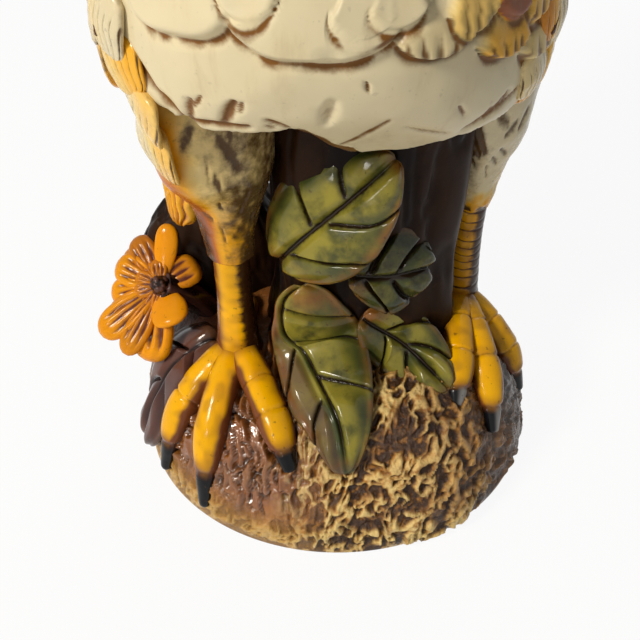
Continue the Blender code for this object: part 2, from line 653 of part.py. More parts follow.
def make_flank_plume(torso_fit, others, plume):
    """The long feather tuft that hangs beside the right thigh, down to the flower."""
    top = Vector((TORSO_X - 0.050, COLUMN_Y + 0.004, BELLY_HEIGHT + 0.027))
    spine = [top, top + Vector((-0.0055, -0.001, -0.027)), top + Vector((-0.0065, -0.003, -0.053)),
             top + Vector((-0.0085, -0.005, -0.077))]
    form = Form(spine, [0.0150, 0.0175, 0.0130, 0.0050], [0.0070, 0.0078, 0.0070, 0.0045], (-1, -0.7, 0),
                blunt=(0.08, 0.12))
    fit(piece("flank_plume", form.mesh("flank_plume", 8, 12), plume), torso_fit, *others)
    return cutter("flank_plume_fit", form.mesh("flank_plume_fit", 8, 12, CLEARANCE))


def stand_on_table():
    """Moves the whole bird so that the origin is the middle of its bounding box, on the table."""
    bpy.context.view_layer.update()
    graph = bpy.context.evaluated_depsgraph_get()
    corners = []
    for made in bpy.context.scene.objects:
        if made.type == "MESH" and not made.hide_render:
            seen = made.evaluated_get(graph)
            corners += [seen.matrix_world @ v.co for v in seen.data.vertices]
    low = [min(c[axis] for c in corners) for axis in range(3)]
    high = [max(c[axis] for c in corners) for axis in range(3)]
    ROOSTER.location = (-(low[0] + high[0]) / 2, -(low[1] + high[1]) / 2, -low[2])
    print("foot of the mound is at", [round(v, 5) for v in ROOSTER.location])


def main():
    global ROOSTER
    for old in list(bpy.data.objects):
        bpy.data.objects.remove(old)
    ROOSTER = bpy.data.objects.new("rooster", None)
    bpy.context.scene.collection.objects.link(ROOSTER)

    cream = glaze("cream_glaze", (0.72, 0.66, 0.52))
    amber = glaze("amber_glaze", (0.80, 0.42, 0.03))
    plume = glaze("plume_glaze", (0.60, 0.38, 0.14))
    green = glaze("leaf_glaze", (0.16, 0.20, 0.06))
    brown = glaze("brown_glaze", (0.10, 0.045, 0.03))
    bark = glaze("bark_glaze", (0.07, 0.04, 0.02))
    stone = glaze("stone_glaze", (0.30, 0.17, 0.07), 0.35)
    orange = glaze("orange_glaze", (0.85, 0.36, 0.02))
    red = glaze("red_glaze", (0.50, 0.05, 0.03))
    horn = glaze("horn_glaze", (0.70, 0.45, 0.10))
    dark = glaze("black_glaze", (0.01, 0.01, 0.012), 0.12)

    torso = torso_form()
    base_fit = make_base(stone)
    torso_fit = make_torso(torso, cream)
    right_tips = {"middle": (-0.0590, -0.0610), "inner": (-0.0195, -0.0680), "outer": (-0.0790, -0.0400)}
    left_tips = {"middle": (0.0680, -0.0430), "inner": (0.0495, -0.0450), "outer": (0.0850, -0.0120)}
    right_leg = make_leg("right", RIGHT_ANKLE, right_tips, base_fit, torso_fit, plume, amber)
    left_leg = make_leg("left", LEFT_ANKLE, left_tips, base_fit, torso_fit, plume, amber)
    column_fit = make_plant(base_fit, torso_fit, [*right_leg, *left_leg], bark, green)
    plume_fit = make_flank_plume(torso_fit, right_leg, plume)
    flower = make_flower(base_fit, [*right_leg, plume_fit], orange, brown)
    make_bank([base_fit, column_fit, torso_fit, *right_leg, plume_fit, *flower], bark)
    make_ground_leaf(base_fit, [*right_leg, *flower], brown)
    head_fit = make_head(torso_fit, cream, red, horn, dark)
    under_wings = [torso_fit, head_fit, right_leg[0], left_leg[0], plume_fit]
    wing_fits = make_wings(torso, under_wings, plume)
    make_tail(torso_fit, wing_fits, plume)
    stand_on_table()


main()
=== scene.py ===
# %% [markdown]
# # A glazed ceramic rooster
# The figure is a slip-cast bird on a carved rock, with leaves and a flower pressed on by hand. Everything
# on it is fired clay under a glossy glaze, and a thin brown wash has run into each hollow. So the lesson
# has two halves for every piece: carve a relief, then paint it where the relief is low.

# %% Load the frame
import math

import bpy
import numpy as np
from mathutils import Matrix, Vector


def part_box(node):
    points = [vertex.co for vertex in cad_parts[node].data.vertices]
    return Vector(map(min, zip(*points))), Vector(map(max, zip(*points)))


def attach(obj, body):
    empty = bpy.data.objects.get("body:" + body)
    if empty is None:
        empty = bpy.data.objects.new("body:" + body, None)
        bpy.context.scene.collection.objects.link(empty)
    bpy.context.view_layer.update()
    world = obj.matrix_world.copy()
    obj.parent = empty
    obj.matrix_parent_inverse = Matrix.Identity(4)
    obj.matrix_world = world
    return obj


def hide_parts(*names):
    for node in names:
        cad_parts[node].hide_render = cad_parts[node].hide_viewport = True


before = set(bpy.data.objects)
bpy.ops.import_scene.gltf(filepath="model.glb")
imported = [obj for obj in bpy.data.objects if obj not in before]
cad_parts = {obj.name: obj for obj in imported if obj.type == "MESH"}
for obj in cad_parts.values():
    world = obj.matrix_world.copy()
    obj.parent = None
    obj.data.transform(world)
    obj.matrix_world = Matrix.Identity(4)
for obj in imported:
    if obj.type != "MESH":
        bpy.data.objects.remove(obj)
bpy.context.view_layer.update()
foot_low, foot_high = (np.array(corner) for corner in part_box("rock_base"))
HOME = np.array([*(foot_low + foot_high)[:2] / 2, 0.0])
print("the mound's middle is at", HOME.round(4))

# %% [markdown]
# ## Camera, light and floor
# The photograph looks down on the feet from close by, with the bird's breast cut off by the top of the
# frame. A short camera distance matters: it makes the breast look wide and the far foot small.

# %% Camera
LOOK_DOWN = math.radians(44)
CAMERA_AT = (-0.0076, -0.2912, 0.3445)
PICTURE_SIDE, FOCAL_PIXELS, SENSOR_MM = 640, 900, 36
camera = bpy.data.objects.new("camera", bpy.data.cameras.new("camera"))
camera.data.sensor_width = SENSOR_MM
camera.data.lens = SENSOR_MM * FOCAL_PIXELS / PICTURE_SIDE
camera.data.clip_start = 0.01
camera.location = HOME + CAMERA_AT
camera.rotation_euler = (math.pi / 2 - LOOK_DOWN, 0, 0)
bpy.context.scene.collection.objects.link(camera)
bpy.context.scene.camera = camera
print("lens", round(camera.data.lens, 2), "mm")

# %% [markdown]
# ## A soft studio
# One lamp stands high on the left and does most of the work, as the sun did: the glaze needs one clear
# highlight, and the right side of each form falls into shade. A weak lamp and a grey world keep that side
# readable, and a small low lamp in front only puts glints on the wet-looking glazes of the rock and the
# feet.

# %% Lamps
bpy.context.scene.view_settings.view_transform = "Standard"


def soft_lamp(name, place, aim, size, watts, colour):
    lamp = bpy.data.objects.new(name, bpy.data.lights.new(name, "AREA"))
    lamp.data.size = size
    lamp.data.energy = watts
    lamp.data.color = colour
    lamp.location = HOME + place
    lamp.rotation_euler = Vector(np.subtract(aim, place)).to_track_quat("-Z", "Y").to_euler()
    bpy.context.scene.collection.objects.link(lamp)


def shows_background(tree):
    """1 for rays that show the white background itself: straight, mirrored or through glass."""
    path = tree.nodes.new("ShaderNodeLightPath").outputs
    shown = path["Is Camera Ray"]
    for way in ("Is Glossy Ray", "Is Transmission Ray"):
        either = tree.nodes.new("ShaderNodeMath")
        either.operation = "MAXIMUM"
        tree.links.new(shown, either.inputs[0])
        tree.links.new(path[way], either.inputs[1])
        shown = either.outputs[0]
    return shown


soft_lamp("key_lamp", (-0.98, -0.82, 1.14), (0, 0, 0.15), 0.30, 20, (1.0, 0.94, 0.84))
soft_lamp("fill_lamp", (1.10, -0.90, 0.60), (0, 0, 0.15), 0.90, 0.3, (0.92, 0.96, 1.0))
soft_lamp("gloss_lamp", (-0.55, -0.95, 0.46), (-0.03, -0.05, 0.05), 0.16, 1.4, (1.0, 0.97, 0.92))
soft_lamp("back_lamp", (0.30, 1.20, 0.90), (0, 0, 0.25), 0.80, 4, (1.0, 1.0, 1.0))
print("lamps:", [lamp.name for lamp in bpy.data.lights])

# %% World and floor
ROOM_STRENGTH, PAPER_GLOW, FLOOR_REACH = 0.13, 0.92, 6
world = bpy.data.worlds.new("pale_room")
bpy.context.scene.world = world
world.use_nodes = True
air = world.node_tree
for old in list(air.nodes):
    air.nodes.remove(old)
room = air.nodes.new("ShaderNodeBackground")
room.inputs["Color"].default_value = (0.95, 0.97, 1.0, 1)
room.inputs["Strength"].default_value = ROOM_STRENGTH
seen = air.nodes.new("ShaderNodeBackground")
choose = air.nodes.new("ShaderNodeMixShader")
sky = air.nodes.new("ShaderNodeOutputWorld")
air.links.new(shows_background(air), choose.inputs[0])
air.links.new(room.outputs[0], choose.inputs[1])
air.links.new(seen.outputs[0], choose.inputs[2])
air.links.new(choose.outputs[0], sky.inputs[0])

floor_mesh = bpy.data.meshes.new("floor")
corners = [(x * FLOOR_REACH, y * FLOOR_REACH, 0) for x, y in ((-1, -1), (1, -1), (1, 1), (-1, 1))]
floor_mesh.from_pydata(corners, [], [(0, 1, 2, 3)])
floor = bpy.data.objects.new("floor", floor_mesh)
bpy.context.scene.collection.objects.link(floor)
paper = bpy.data.materials.new("floor_paper")
paper.use_nodes = True
sheet = paper.node_tree
sheet.nodes["Principled BSDF"].inputs["Base Color"].default_value = (0.92, 0.92, 0.92, 1)
sheet.nodes["Principled BSDF"].inputs["Roughness"].default_value = 0.9
glow = sheet.nodes.new("ShaderNodeEmission")
part_glow = sheet.nodes.new("ShaderNodeMixShader")
share = sheet.nodes.new("ShaderNodeMath")
share.operation = "MULTIPLY"
share.inputs[1].default_value = PAPER_GLOW
sheet.links.new(shows_background(sheet), share.inputs[0])
sheet.links.new(share.outputs[0], part_glow.inputs[0])
sheet.links.new(sheet.nodes["Principled BSDF"].outputs[0], part_glow.inputs[1])
sheet.links.new(glow.outputs[0], part_glow.inputs[2])
sheet.links.new(part_glow.outputs[0], sheet.nodes["Material Output"].inputs[0])
floor_mesh.materials.append(paper)
print("floor reaches", FLOOR_REACH, "m each way")

# %% [markdown]
# ## Carving tools
# A sculptor's gouge is a number here. Each surface is a grid of points on a swept body, and a relief
# moves every point along its normal. Lattice noise gives the uneven hand of the maker, always with the
# same seed.

# %% Curves
def spline(values, t):
    """Catmull-Rom curve through evenly spaced values, for an array t from 0 to 1."""
    values = np.asarray(values, float)
    spans = len(values) - 1
    t = np.clip(np.asarray(t, float), 0, 1) * spans
    i = np.minimum(t.astype(int), spans - 1)
    u = t - i
    before, start = values[np.maximum(i - 1, 0)], values[i]
    end, after = values[i + 1], values[np.minimum(i + 2, spans)]
    if values.ndim > 1:
        u = u[..., None]
    return (start + 0.5 * u * (end - before) + 0.5 * u**2 * (2 * before - 5 * start + 4 * end - after)
            + 0.5 * u**3 * (3 * (start - end) + after - before))


def smooth(low, high, x):
    x = np.clip((x - low) / (high - low), 0, 1)
    return x * x * (3 - 2 * x)


def bell(x, width):
    return np.exp(-(x / width) ** 2)


def unit(v):
    return v / np.maximum(np.linalg.norm(v, axis=-1, keepdims=True), 1e-12)


print("a bell at its width is", bell(1.0, 1.0).round(3))


# %% Noise
def scatter(i, j, k, seed):
    """A fixed number from 0 to 1 for each lattice point."""
    h = (i * 73856093) ^ (j * 19349663) ^ (k * 83492791) ^ (seed * 2654435761)
    h = ((h ^ (h >> 13)) * 1274126177) & 0xFFFFFFFF
    return ((h ^ (h >> 16)) & 0xFFFF) / 65535.0


def noise(p, size, seed=0):
    """Smooth lattice noise from -1 to 1."""
    q = np.asarray(p) / size
    cell = np.floor(q).astype(np.int64)
    f = q - cell
    f = f * f * (3 - 2 * f)
    total = 0.0
    for a in (0, 1):
        for b in (0, 1):
            for c in (0, 1):
                weight = ((f[..., 0] if a else 1 - f[..., 0]) * (f[..., 1] if b else 1 - f[..., 1])
                          * (f[..., 2] if c else 1 - f[..., 2]))
                total = total + weight * scatter(cell[..., 0] + a, cell[..., 1] + b, cell[..., 2] + c, seed)
    return total * 2 - 1


def rough(p, size, octaves=4, seed=0):
    """Noise added up over several sizes, each half the last."""
    return sum(noise(p, size / 2**o, seed + o) / 2**o for o in range(octaves)) / (2 - 0.5 ** (octaves - 1))


def pits(p, size, seed=0):
    """Distance to the nearest of scattered points, in units of size."""
    q = np.asarray(p) / size
    cell = np.floor(q).astype(np.int64)
    nearest = np.full(q.shape[:-1], 9.0)
    for a in (-1, 0, 1):
        for b in (-1, 0, 1):
            for c in (-1, 0, 1):
                i, j, k = cell[..., 0] + a, cell[..., 1] + b, cell[..., 2] + c
                spot = np.stack([i + scatter(i, j, k, seed), j + scatter(i, j, k, seed + 1),
                                 k + scatter(i, j, k, seed + 2)], -1)
                nearest = np.minimum(nearest, np.linalg.norm(spot - q, axis=-1))
    return nearest


print("noise ready:", round(float(noise(np.array([0.1, 0.2, 0.3]), 0.05)), 3))

# %% Swept bodies
UP, FRONT = (0, 0, 1), (0, -1, 0)
SIDES = {"right": -1, "left": 1}


class Sweep:
    """A rounded body along a spine, in the same terms as the frame's castings."""

    def __init__(self, spine, wide, deep, facing, blunt=(0.12, 0.12), square=2.0, below=None):
        self.spine, self.wide, self.deep = np.asarray(spine, float), wide, deep
        self.facing, self.blunt = np.asarray(facing, float), blunt
        self.square, self.below = square, below or square
        steps = spline(self.spine, np.linspace(0, 1, 200))
        self.length = float(np.linalg.norm(np.diff(steps, axis=0), axis=1).sum())

    def fullness(self, t):
        part = np.minimum(np.minimum(t / self.blunt[0], (1 - t) / self.blunt[1]), 1)
        return np.sqrt(np.maximum(0, 1 - (1 - part) ** 2))

    def frames(self, t):
        ahead, behind = np.minimum(t + 1e-3, 1), np.maximum(t - 1e-3, 0)
        tangent = unit(spline(self.spine, ahead) - spline(self.spine, behind))
        across = unit(np.cross(tangent, self.facing))
        return spline(self.spine, t), across, np.cross(across, tangent)

    def at(self, t, angle):
        """Points on the surface for arrays t and angle of one shape."""
        centre, across, out = self.frames(t)
        full = self.fullness(t)
        c, s = np.cos(angle), np.sin(angle)
        square = np.where(s < 0, self.below, self.square)
        reach = (np.abs(c) ** square + np.abs(s) ** square) ** (-1 / square)
        w, d = spline(self.wide, t) * full, spline(self.deep, t) * full
        return centre + across * (w * reach * c)[..., None] + out * (d * reach * s)[..., None]

    def grid(self, rings, sides, even=0.5, top=0.5):
        """t and angle arrays. An even of 1 spaces rings evenly. Top is the facing half's share of sides."""
        i = np.linspace(0, 1, rings + 2)[1:-1]
        t = even * i + (1 - even) * (1 - np.cos(np.pi * i)) / 2
        turn = np.arange(sides) / sides
        angle = np.pi * np.where(turn < top, turn / top, 1 + (turn - top) / (1 - top))
        return np.meshgrid(t, angle, indexing="ij")


def grid_normals(points):
    """Outward normals of a closed tube of points."""
    along = np.gradient(points, axis=0)
    around = np.roll(points, -1, 1) - np.roll(points, 1, 1)
    n = unit(np.cross(along, around))
    outward = points - points.mean(1, keepdims=True)
    return -n if (n * outward).sum() < 0 else n


print("sides along x:", SIDES)

# %% From a grid of points to a finished piece
def tube_mesh(name, points, marks, home=HOME):
    """A closed mesh from rings of points, capped by a point at each end, with marks as vertex attributes."""
    rings, sides = points.shape[:2]
    verts = np.concatenate([points[0].mean(0)[None], points.reshape(-1, 3), points[-1].mean(0)[None]]) + home
    last = len(verts) - 1
    j = np.arange(sides)
    k = (j + 1) % sides
    i = 1 + np.arange(rings - 1)[:, None] * sides
    quads = np.stack([i + j, i + k, i + sides + k, i + sides + j], -1).reshape(-1, 4)
    end = 1 + (rings - 1) * sides
    start_fan = np.stack([np.zeros(sides, int), 1 + k, 1 + j], -1)
    end_fan = np.stack([end + j, end + k, np.full(sides, last)], -1)
    a, b, c = verts[quads[:, 0]], verts[quads[:, 1]], verts[quads[:, 2]]
    middle = verts.mean(0)
    if (np.cross(b - a, c - a) * ((a + c) / 2 - middle)).sum() < 0:
        quads, start_fan, end_fan = quads[:, ::-1], start_fan[:, ::-1], end_fan[:, ::-1]
    mesh = bpy.data.meshes.new(name)
    mesh.from_pydata(verts.tolist(), [], start_fan.tolist() + quads.tolist() + end_fan.tolist())
    for mark, values in marks.items():
        values = np.broadcast_to(values, (rings, sides))
        flat = np.concatenate([[values[0].mean()], values.ravel(), [values[-1].mean()]])
        mesh.attributes.new(mark, "FLOAT", "POINT").data.foreach_set("value", flat.astype(np.float32))
    mesh.shade_smooth()
    return mesh


def place(name, mesh, material, *nodes, slot=None):
    """Turns a finished mesh into a piece that stands for CAD nodes. Its slot argument is not used."""
    slot = slot or material.name.partition(".")[0]
    mesh.materials.clear()
    mesh.materials.append(material)
    made = bpy.data.objects.new(name, mesh)
    bpy.context.scene.collection.objects.link(made)
    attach(made, "root")
    if nodes:
        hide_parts(*nodes)
    print(f"{name}: {len(mesh.polygons)} faces")
    return made


def carve(name, body, grid, relief, material, *nodes, slot=None):
    """A piece whose surface is moved by relief(t, angle, points), which gives a height and the marks."""
    t, angle = grid
    points = body.at(t, angle)
    height, marks = relief(t, angle, points)
    points = points + grid_normals(points) * (height + 0 * t)[..., None]
    return place(name, tube_mesh(name, points, marks), material, *nodes, slot=slot)


def sprig(node, *made_of):
    """A carved piece that stands for the CAD node of its own name."""
    return carve("glazed_" + node, *made_of, node)


print("carving tools ready")

# %% [markdown]
# ## Glaze
# The finishes share three effects, so each is a node group. The wash is brown stain that stays where the
# relief is low, broken up by noise because a sponge has wiped it; on several pieces the same mark also
# paints shade. The pooling is the slight unevenness of a fired glaze. The barbs are the slanting cuts of a
# feather. The Principled shader itself stays in each material, with a clear coat for the gloss.

# %% Node helpers
def new_node(tree, kind, inputs=None, **settings):
    """A node with its settings made and its inputs linked or filled in."""
    made = tree.nodes.new(kind)
    for key, value in settings.items():
        setattr(made, key, value)
    for key, value in (inputs or {}).items():
        if isinstance(value, bpy.types.NodeSocket):
            tree.links.new(value, made.inputs[key])
        else:
            made.inputs[key].default_value = value
    return made


def add(tree, kind, inputs=None, **settings):
    return new_node(tree, "ShaderNode" + kind, inputs, **settings)


def solid_colour(value):
    """A plain colour with its alpha, or the socket or number that was given."""
    return (*value, 1) if isinstance(value, tuple) else value


def calc(tree, operation, a, b=0.0, c=0.0):
    return add(tree, "Math", {0: a, 1: b, 2: c}, operation=operation).outputs[0]


def times(tree, a, b):
    return calc(tree, "MULTIPLY", a, b)


def mix(tree, amount, a, b, mode="MIX"):
    made = add(tree, "Mix", {0: amount, 6: solid_colour(a), 7: solid_colour(b)}, data_type="RGBA",
               blend_type=mode)
    return made.outputs[2]


print("node helpers ready")


# %% Marks, spots and effects
def mark(tree, name):
    return add(tree, "Attribute", attribute_name=name).outputs["Fac"]


def spots(tree, scale, detail=3.0, rough_=0.55, stretch=None):
    """Noise on Object coordinates, from 0 to 1."""
    where = add(tree, "TexCoord").outputs["Object"]
    if stretch:
        where = add(tree, "Mapping", {"Vector": where, "Scale": stretch}).outputs[0]
    grain = {"Vector": where, "Scale": scale, "Detail": detail, "Roughness": rough_}
    return add(tree, "TexNoise", grain).outputs[0]


def ramp(tree, amount, stops):
    made = add(tree, "ValToRGB", {0: amount})
    bar = made.color_ramp.elements
    while len(bar) < len(stops):
        bar.new(0.5)
    for element, (position, colour) in zip(bar, stops):
        element.position = position
        element.color = (*colour, 1)
    return made.outputs[0]


def between(tree, low, high, value):
    limits = {"Value": value, "From Min": low, "From Max": high}
    return add(tree, "MapRange", limits, interpolation_type="SMOOTHSTEP").outputs[0]


def effect(name, inputs, outputs):
    tree = bpy.data.node_groups.new(name, "ShaderNodeTree")
    for label, value in inputs.items():
        kind = "NodeSocketColor" if isinstance(value, tuple) else "NodeSocketFloat"
        socket = tree.interface.new_socket(label, in_out="INPUT", socket_type=kind)
        socket.default_value = solid_colour(value)
    for label in outputs:
        kind = "NodeSocketColor" if label == "Colour" else "NodeSocketFloat"
        tree.interface.new_socket(label, in_out="OUTPUT", socket_type=kind)
    return tree, tree.nodes.new("NodeGroupInput").outputs, tree.nodes.new("NodeGroupOutput").inputs


def use(tree, group, inputs):
    filled = {key: solid_colour(value) for key, value in inputs.items()}
    return add(tree, "Group", filled, node_tree=group).outputs


print("effect helpers ready")

# %% Shared effects
wash_group, given, result = effect(
    "wiped_wash", {"Colour": (0.7, 0.6, 0.5), "Wash Colour": (0.06, 0.022, 0.006), "Wash": 0.0, "Wiping": 0.5,
                   "Sponge Scale": 160.0}, ("Colour", "Mask"))
where = add(wash_group, "TexCoord").outputs["Object"]
sponge = add(wash_group, "TexNoise", {"Vector": where, "Scale": given["Sponge Scale"], "Detail": 5.0,
                                      "Roughness": 0.65}).outputs[0]
swing = times(wash_group, calc(wash_group, "SUBTRACT", sponge, 0.5), given["Wiping"])
level = calc(wash_group, "ADD", given["Wash"], times(wash_group, swing, 1.6))
gate = between(wash_group, 0.0, 0.12, given["Wash"])
mask = times(wash_group, between(wash_group, 0.12, 0.78, level), gate)
wash_group.links.new(mix(wash_group, mask, given["Colour"], given["Wash Colour"]), result["Colour"])
wash_group.links.new(mask, result["Mask"])

pool_group, given, result = effect(
    "fired_glaze", {"Colour": (0.7, 0.6, 0.5), "Pooling": 0.15, "Specks": 0.3, "Gloss": 0.25},
    ("Colour", "Roughness", "Height"))
broad = spots(pool_group, 38.0, 4.0)
fine = spots(pool_group, 420.0, 2.0)
swing = times(pool_group, calc(pool_group, "SUBTRACT", broad, 0.5), given["Pooling"])
shade = calc(pool_group, "ADD", 1.0, times(pool_group, swing, 2.2))
tone = add(pool_group, "CombineColor", {0: shade, 1: shade, 2: shade}).outputs[0]
coloured = mix(pool_group, 1.0, given["Colour"], tone, "MULTIPLY")
dots = times(pool_group, between(pool_group, 0.66, 0.74, fine), given["Specks"])
coloured = mix(pool_group, dots, coloured, (0.05, 0.022, 0.01))
pool_group.links.new(coloured, result["Colour"])
uneven = times(pool_group, calc(pool_group, "SUBTRACT", fine, 0.5), 0.16)
pool_group.links.new(calc(pool_group, "ADD", given["Gloss"], uneven), result["Roughness"])
pool_group.links.new(calc(pool_group, "MULTIPLY_ADD", broad, 0.6, times(pool_group, fine, 0.25)),
                     result["Height"])

barb_group, given, result = effect("feather_barbs", {"Barbs": 14.0, "Slant": 0.5, "Waver": 0.06},
                                   ("Groove", "Shaft", "Rim"))
from_shaft = calc(barb_group, "ABSOLUTE", mark(barb_group, "across"))
along = mark(barb_group, "along")
bent = calc(barb_group, "POWER", from_shaft, 0.8)
line = calc(barb_group, "SUBTRACT", along, times(barb_group, bent, given["Slant"]))
waver = times(barb_group, calc(barb_group, "SUBTRACT", spots(barb_group, 90.0, 2.0), 0.5), given["Waver"])
line = times(barb_group, calc(barb_group, "ADD", line, waver), given["Barbs"])
saw = calc(barb_group, "ABSOLUTE", calc(barb_group, "SUBTRACT", calc(barb_group, "FRACT", line), 0.5))
clear = between(barb_group, 0.03, 0.14, from_shaft)
groove = times(barb_group, between(barb_group, 0.18, 0.02, saw), clear)
barb_group.links.new(groove, result["Groove"])
barb_group.links.new(between(barb_group, 0.09, 0.02, from_shaft), result["Shaft"])
near_tip = between(barb_group, 0.90, 1.0, along)
near_side = between(barb_group, 0.84, 1.0, from_shaft)
barb_group.links.new(calc(barb_group, "MAXIMUM", near_tip, near_side), result["Rim"])
print("effects:", [g.name for g in (wash_group, pool_group, barb_group)])

# %% Making one glaze
BROWN_WASH = (0.060, 0.022, 0.006)
WET_ROUGHNESS, WET_COAT, COAT_ROUGHNESS, BUMP_DEPTH = 0.12, 0.60, 0.08, 0.001


def glaze(name, colour_from, wash=None, wash_colour=BROWN_WASH, wiping=0.5, sponge=160.0, pooling=0.15,
          specks=0.3, gloss=0.25, bump=0.25, coat=0.08, shine=0.12, height_from=None, wet=None):
    """A glaze whose colour is made by colour_from(tree), darkened by the wash mark of stain and, on some
    pieces, painted shade.

    wet names a mark: where it is 1 the glaze is smooth and has a thick coat.
    """
    material = bpy.data.materials.new(name)
    material.use_nodes = True
    tree = material.node_tree
    shader = tree.nodes["Principled BSDF"]
    colour = colour_from(tree)
    low = wash(tree) if wash else mark(tree, "wash")
    stained = use(tree, wash_group, {"Colour": colour, "Wash Colour": wash_colour, "Wash": low,
                                     "Wiping": wiping, "Sponge Scale": sponge})
    dry = calc(tree, "MULTIPLY_ADD", mark(tree, wet), WET_ROUGHNESS - gloss, gloss) if wet else gloss
    fired = use(tree, pool_group, {"Colour": stained["Colour"], "Pooling": pooling, "Specks": specks,
                                   "Gloss": dry})
    tree.links.new(fired["Colour"], shader.inputs["Base Color"])
    tree.links.new(fired["Roughness"], shader.inputs["Roughness"])
    height = times(tree, fired["Height"], 0.5)
    if height_from:
        height = calc(tree, "ADD", height, height_from(tree))
    relief = add(tree, "Bump", {"Height": height, "Strength": bump, "Distance": BUMP_DEPTH})
    tree.links.new(relief.outputs[0], shader.inputs["Normal"])
    shader.inputs["Coat Weight"].default_value = coat
    if wet:
        tree.links.new(times(tree, mark(tree, wet), WET_COAT), shader.inputs["Coat Weight"])
    shader.inputs["Coat Roughness"].default_value = COAT_ROUGHNESS
    shader.inputs["Specular IOR Level"].default_value = shine
    return material


def plain(colour):
    """A colour with a darker cloud in it."""
    return lambda tree: mix(tree, times(tree, spots(tree, 70.0), 0.5), colour,
                            tuple(c * 0.72 for c in colour))


print("a wet glaze has a coat of", WET_COAT)

# %% [markdown]
# ## Rows of one shape
# Petals and feathers repeat one pressed shape many times. A small Geometry Nodes tree sets that shape on
# points: each point carries its turn, its size and its tint, and a seeded random turn keeps the rows
# hand-made.

# %% The row tree
row_tree = bpy.data.node_groups.new("set_in_rows", "GeometryNodeTree")
for label, kind in (("Seats", "Geometry"), ("Shape", "Object"), ("Size", "Float"), ("Unevenness", "Float"),
                    ("Seed", "Int"), ("Finish", "Material")):
    row_tree.interface.new_socket(label, in_out="INPUT", socket_type="NodeSocket" + kind)
row_tree.interface.new_socket("Rows", in_out="OUTPUT", socket_type="NodeSocketGeometry")


def row_node(kind, inputs=None, **settings):
    return new_node(row_tree, kind, inputs, **settings).outputs


given = row_node("NodeGroupInput")
shape = row_node("GeometryNodeObjectInfo", {"Object": given["Shape"], "As Instance": True})["Geometry"]
turn, size = (row_node("GeometryNodeInputNamedAttribute", {"Name": label},
                       data_type="FLOAT_VECTOR")["Attribute"]
              for label in ("turn", "size"))
most = row_node("ShaderNodeCombineXYZ", {axis: given["Unevenness"] for axis in "XYZ"})[0]
least = row_node("ShaderNodeVectorMath", {0: most, "Scale": -1.0}, operation="SCALE")[0]
sway = row_node("FunctionNodeRandomValue", {0: least, 1: most, "Seed": given["Seed"]},
                data_type="FLOAT_VECTOR")[0]
turned = row_node("FunctionNodeRotateRotation", {
    "Rotation": row_node("FunctionNodeEulerToRotation", {0: turn})[0],
    "Rotate By": row_node("FunctionNodeEulerToRotation", {0: sway})[0]}, rotation_space="LOCAL")[0]
scaled = row_node("ShaderNodeVectorMath", {0: size, "Scale": given["Size"]}, operation="SCALE")[0]
rows = row_node("GeometryNodeInstanceOnPoints", {"Points": given["Seats"], "Instance": shape,
                                                 "Rotation": turned, "Scale": scaled})[0]
solid = row_node("GeometryNodeRealizeInstances", {"Geometry": rows})[0]
row_node("NodeGroupOutput", {0: row_node("GeometryNodeSetMaterial", {"Geometry": solid,
                                                                     "Material": given["Finish"]})[0]})
print("row tree:", len(row_tree.nodes), "nodes")


# %% Using the row tree
def lying(out, toward):
    """Turns that lay a shape's length toward a direction, with its face along out."""
    along = unit(toward - out * (toward * out).sum(-1, keepdims=True))
    return np.array([Matrix([Vector(a), Vector(b), Vector(o)]).transposed().to_euler()
                     for a, b, o in zip(np.cross(along, out), along, out)])


def set_in_rows(name, shape, seats, turns, sizes, tints, finish, unevenness, seed):
    """Runs the row tree and gives back one plain mesh."""
    points = bpy.data.meshes.new(name + "_seats")
    points.from_pydata((np.asarray(seats) + HOME).tolist(), [], [])
    for label, kind, key, values in (("turn", "FLOAT_VECTOR", "vector", turns),
                                     ("size", "FLOAT_VECTOR", "vector", sizes),
                                     ("tint", "FLOAT", "value", tints)):
        values = np.asarray(values, np.float32).ravel()
        points.attributes.new(label, kind, "POINT").data.foreach_set(key, values)
    holder = bpy.data.objects.new(name + "_seats", points)
    single = bpy.data.objects.new(name + "_shape", shape)
    for helper in (holder, single):
        bpy.context.scene.collection.objects.link(helper)
    rows = holder.modifiers.new("rows", "NODES")
    rows.node_group = row_tree
    chosen = {"Shape": single, "Size": 1.0, "Unevenness": unevenness, "Seed": seed, "Finish": finish}
    for item in row_tree.interface.items_tree:
        if item.in_out == "INPUT" and item.name in chosen:
            rows[item.identifier] = chosen[item.name]
    graph = bpy.context.evaluated_depsgraph_get()
    mesh = bpy.data.meshes.new_from_object(holder.evaluated_get(graph), preserve_all_data_layers=True,
                                           depsgraph=graph)
    holder.modifiers.remove(rows)
    for helper in (holder, single):
        bpy.data.objects.remove(helper)
    mesh.name = name
    return mesh


print("rows take", [item.name for item in row_tree.interface.items_tree])

# %% [markdown]
# ## Rock
# The mound is carved clay. Lattice noise crosses zero along winding lines, and those lines make good clay
# worms: they branch and wander as a tool does. Some stand up as ridges and others are cut in as gouges.
# The front hump is the roughest and was brushed with pale khaki on its ridges. By the right foot the clay
# was left smooth and red-brown, with drips that run down the slope, and round the left foot the glaze has
# pooled.

# %% Rock shape
BASE_WIDE, BASE_DEEP, BASE_LIP = 0.090, 0.080, 0.005


def mound(x, y):
    reach = np.hypot(x / BASE_WIDE, y / BASE_DEEP)
    crown = 0.066 + 0.007 * x / BASE_WIDE
    return BASE_LIP + (crown - BASE_LIP) * np.maximum(0, 1 - reach**4) ** 0.6


def on_mound(x, y, lift=0.0):
    x, y = np.asarray(x, float), np.asarray(y, float)
    return np.stack([x, y, mound(x, y) + lift], -1)


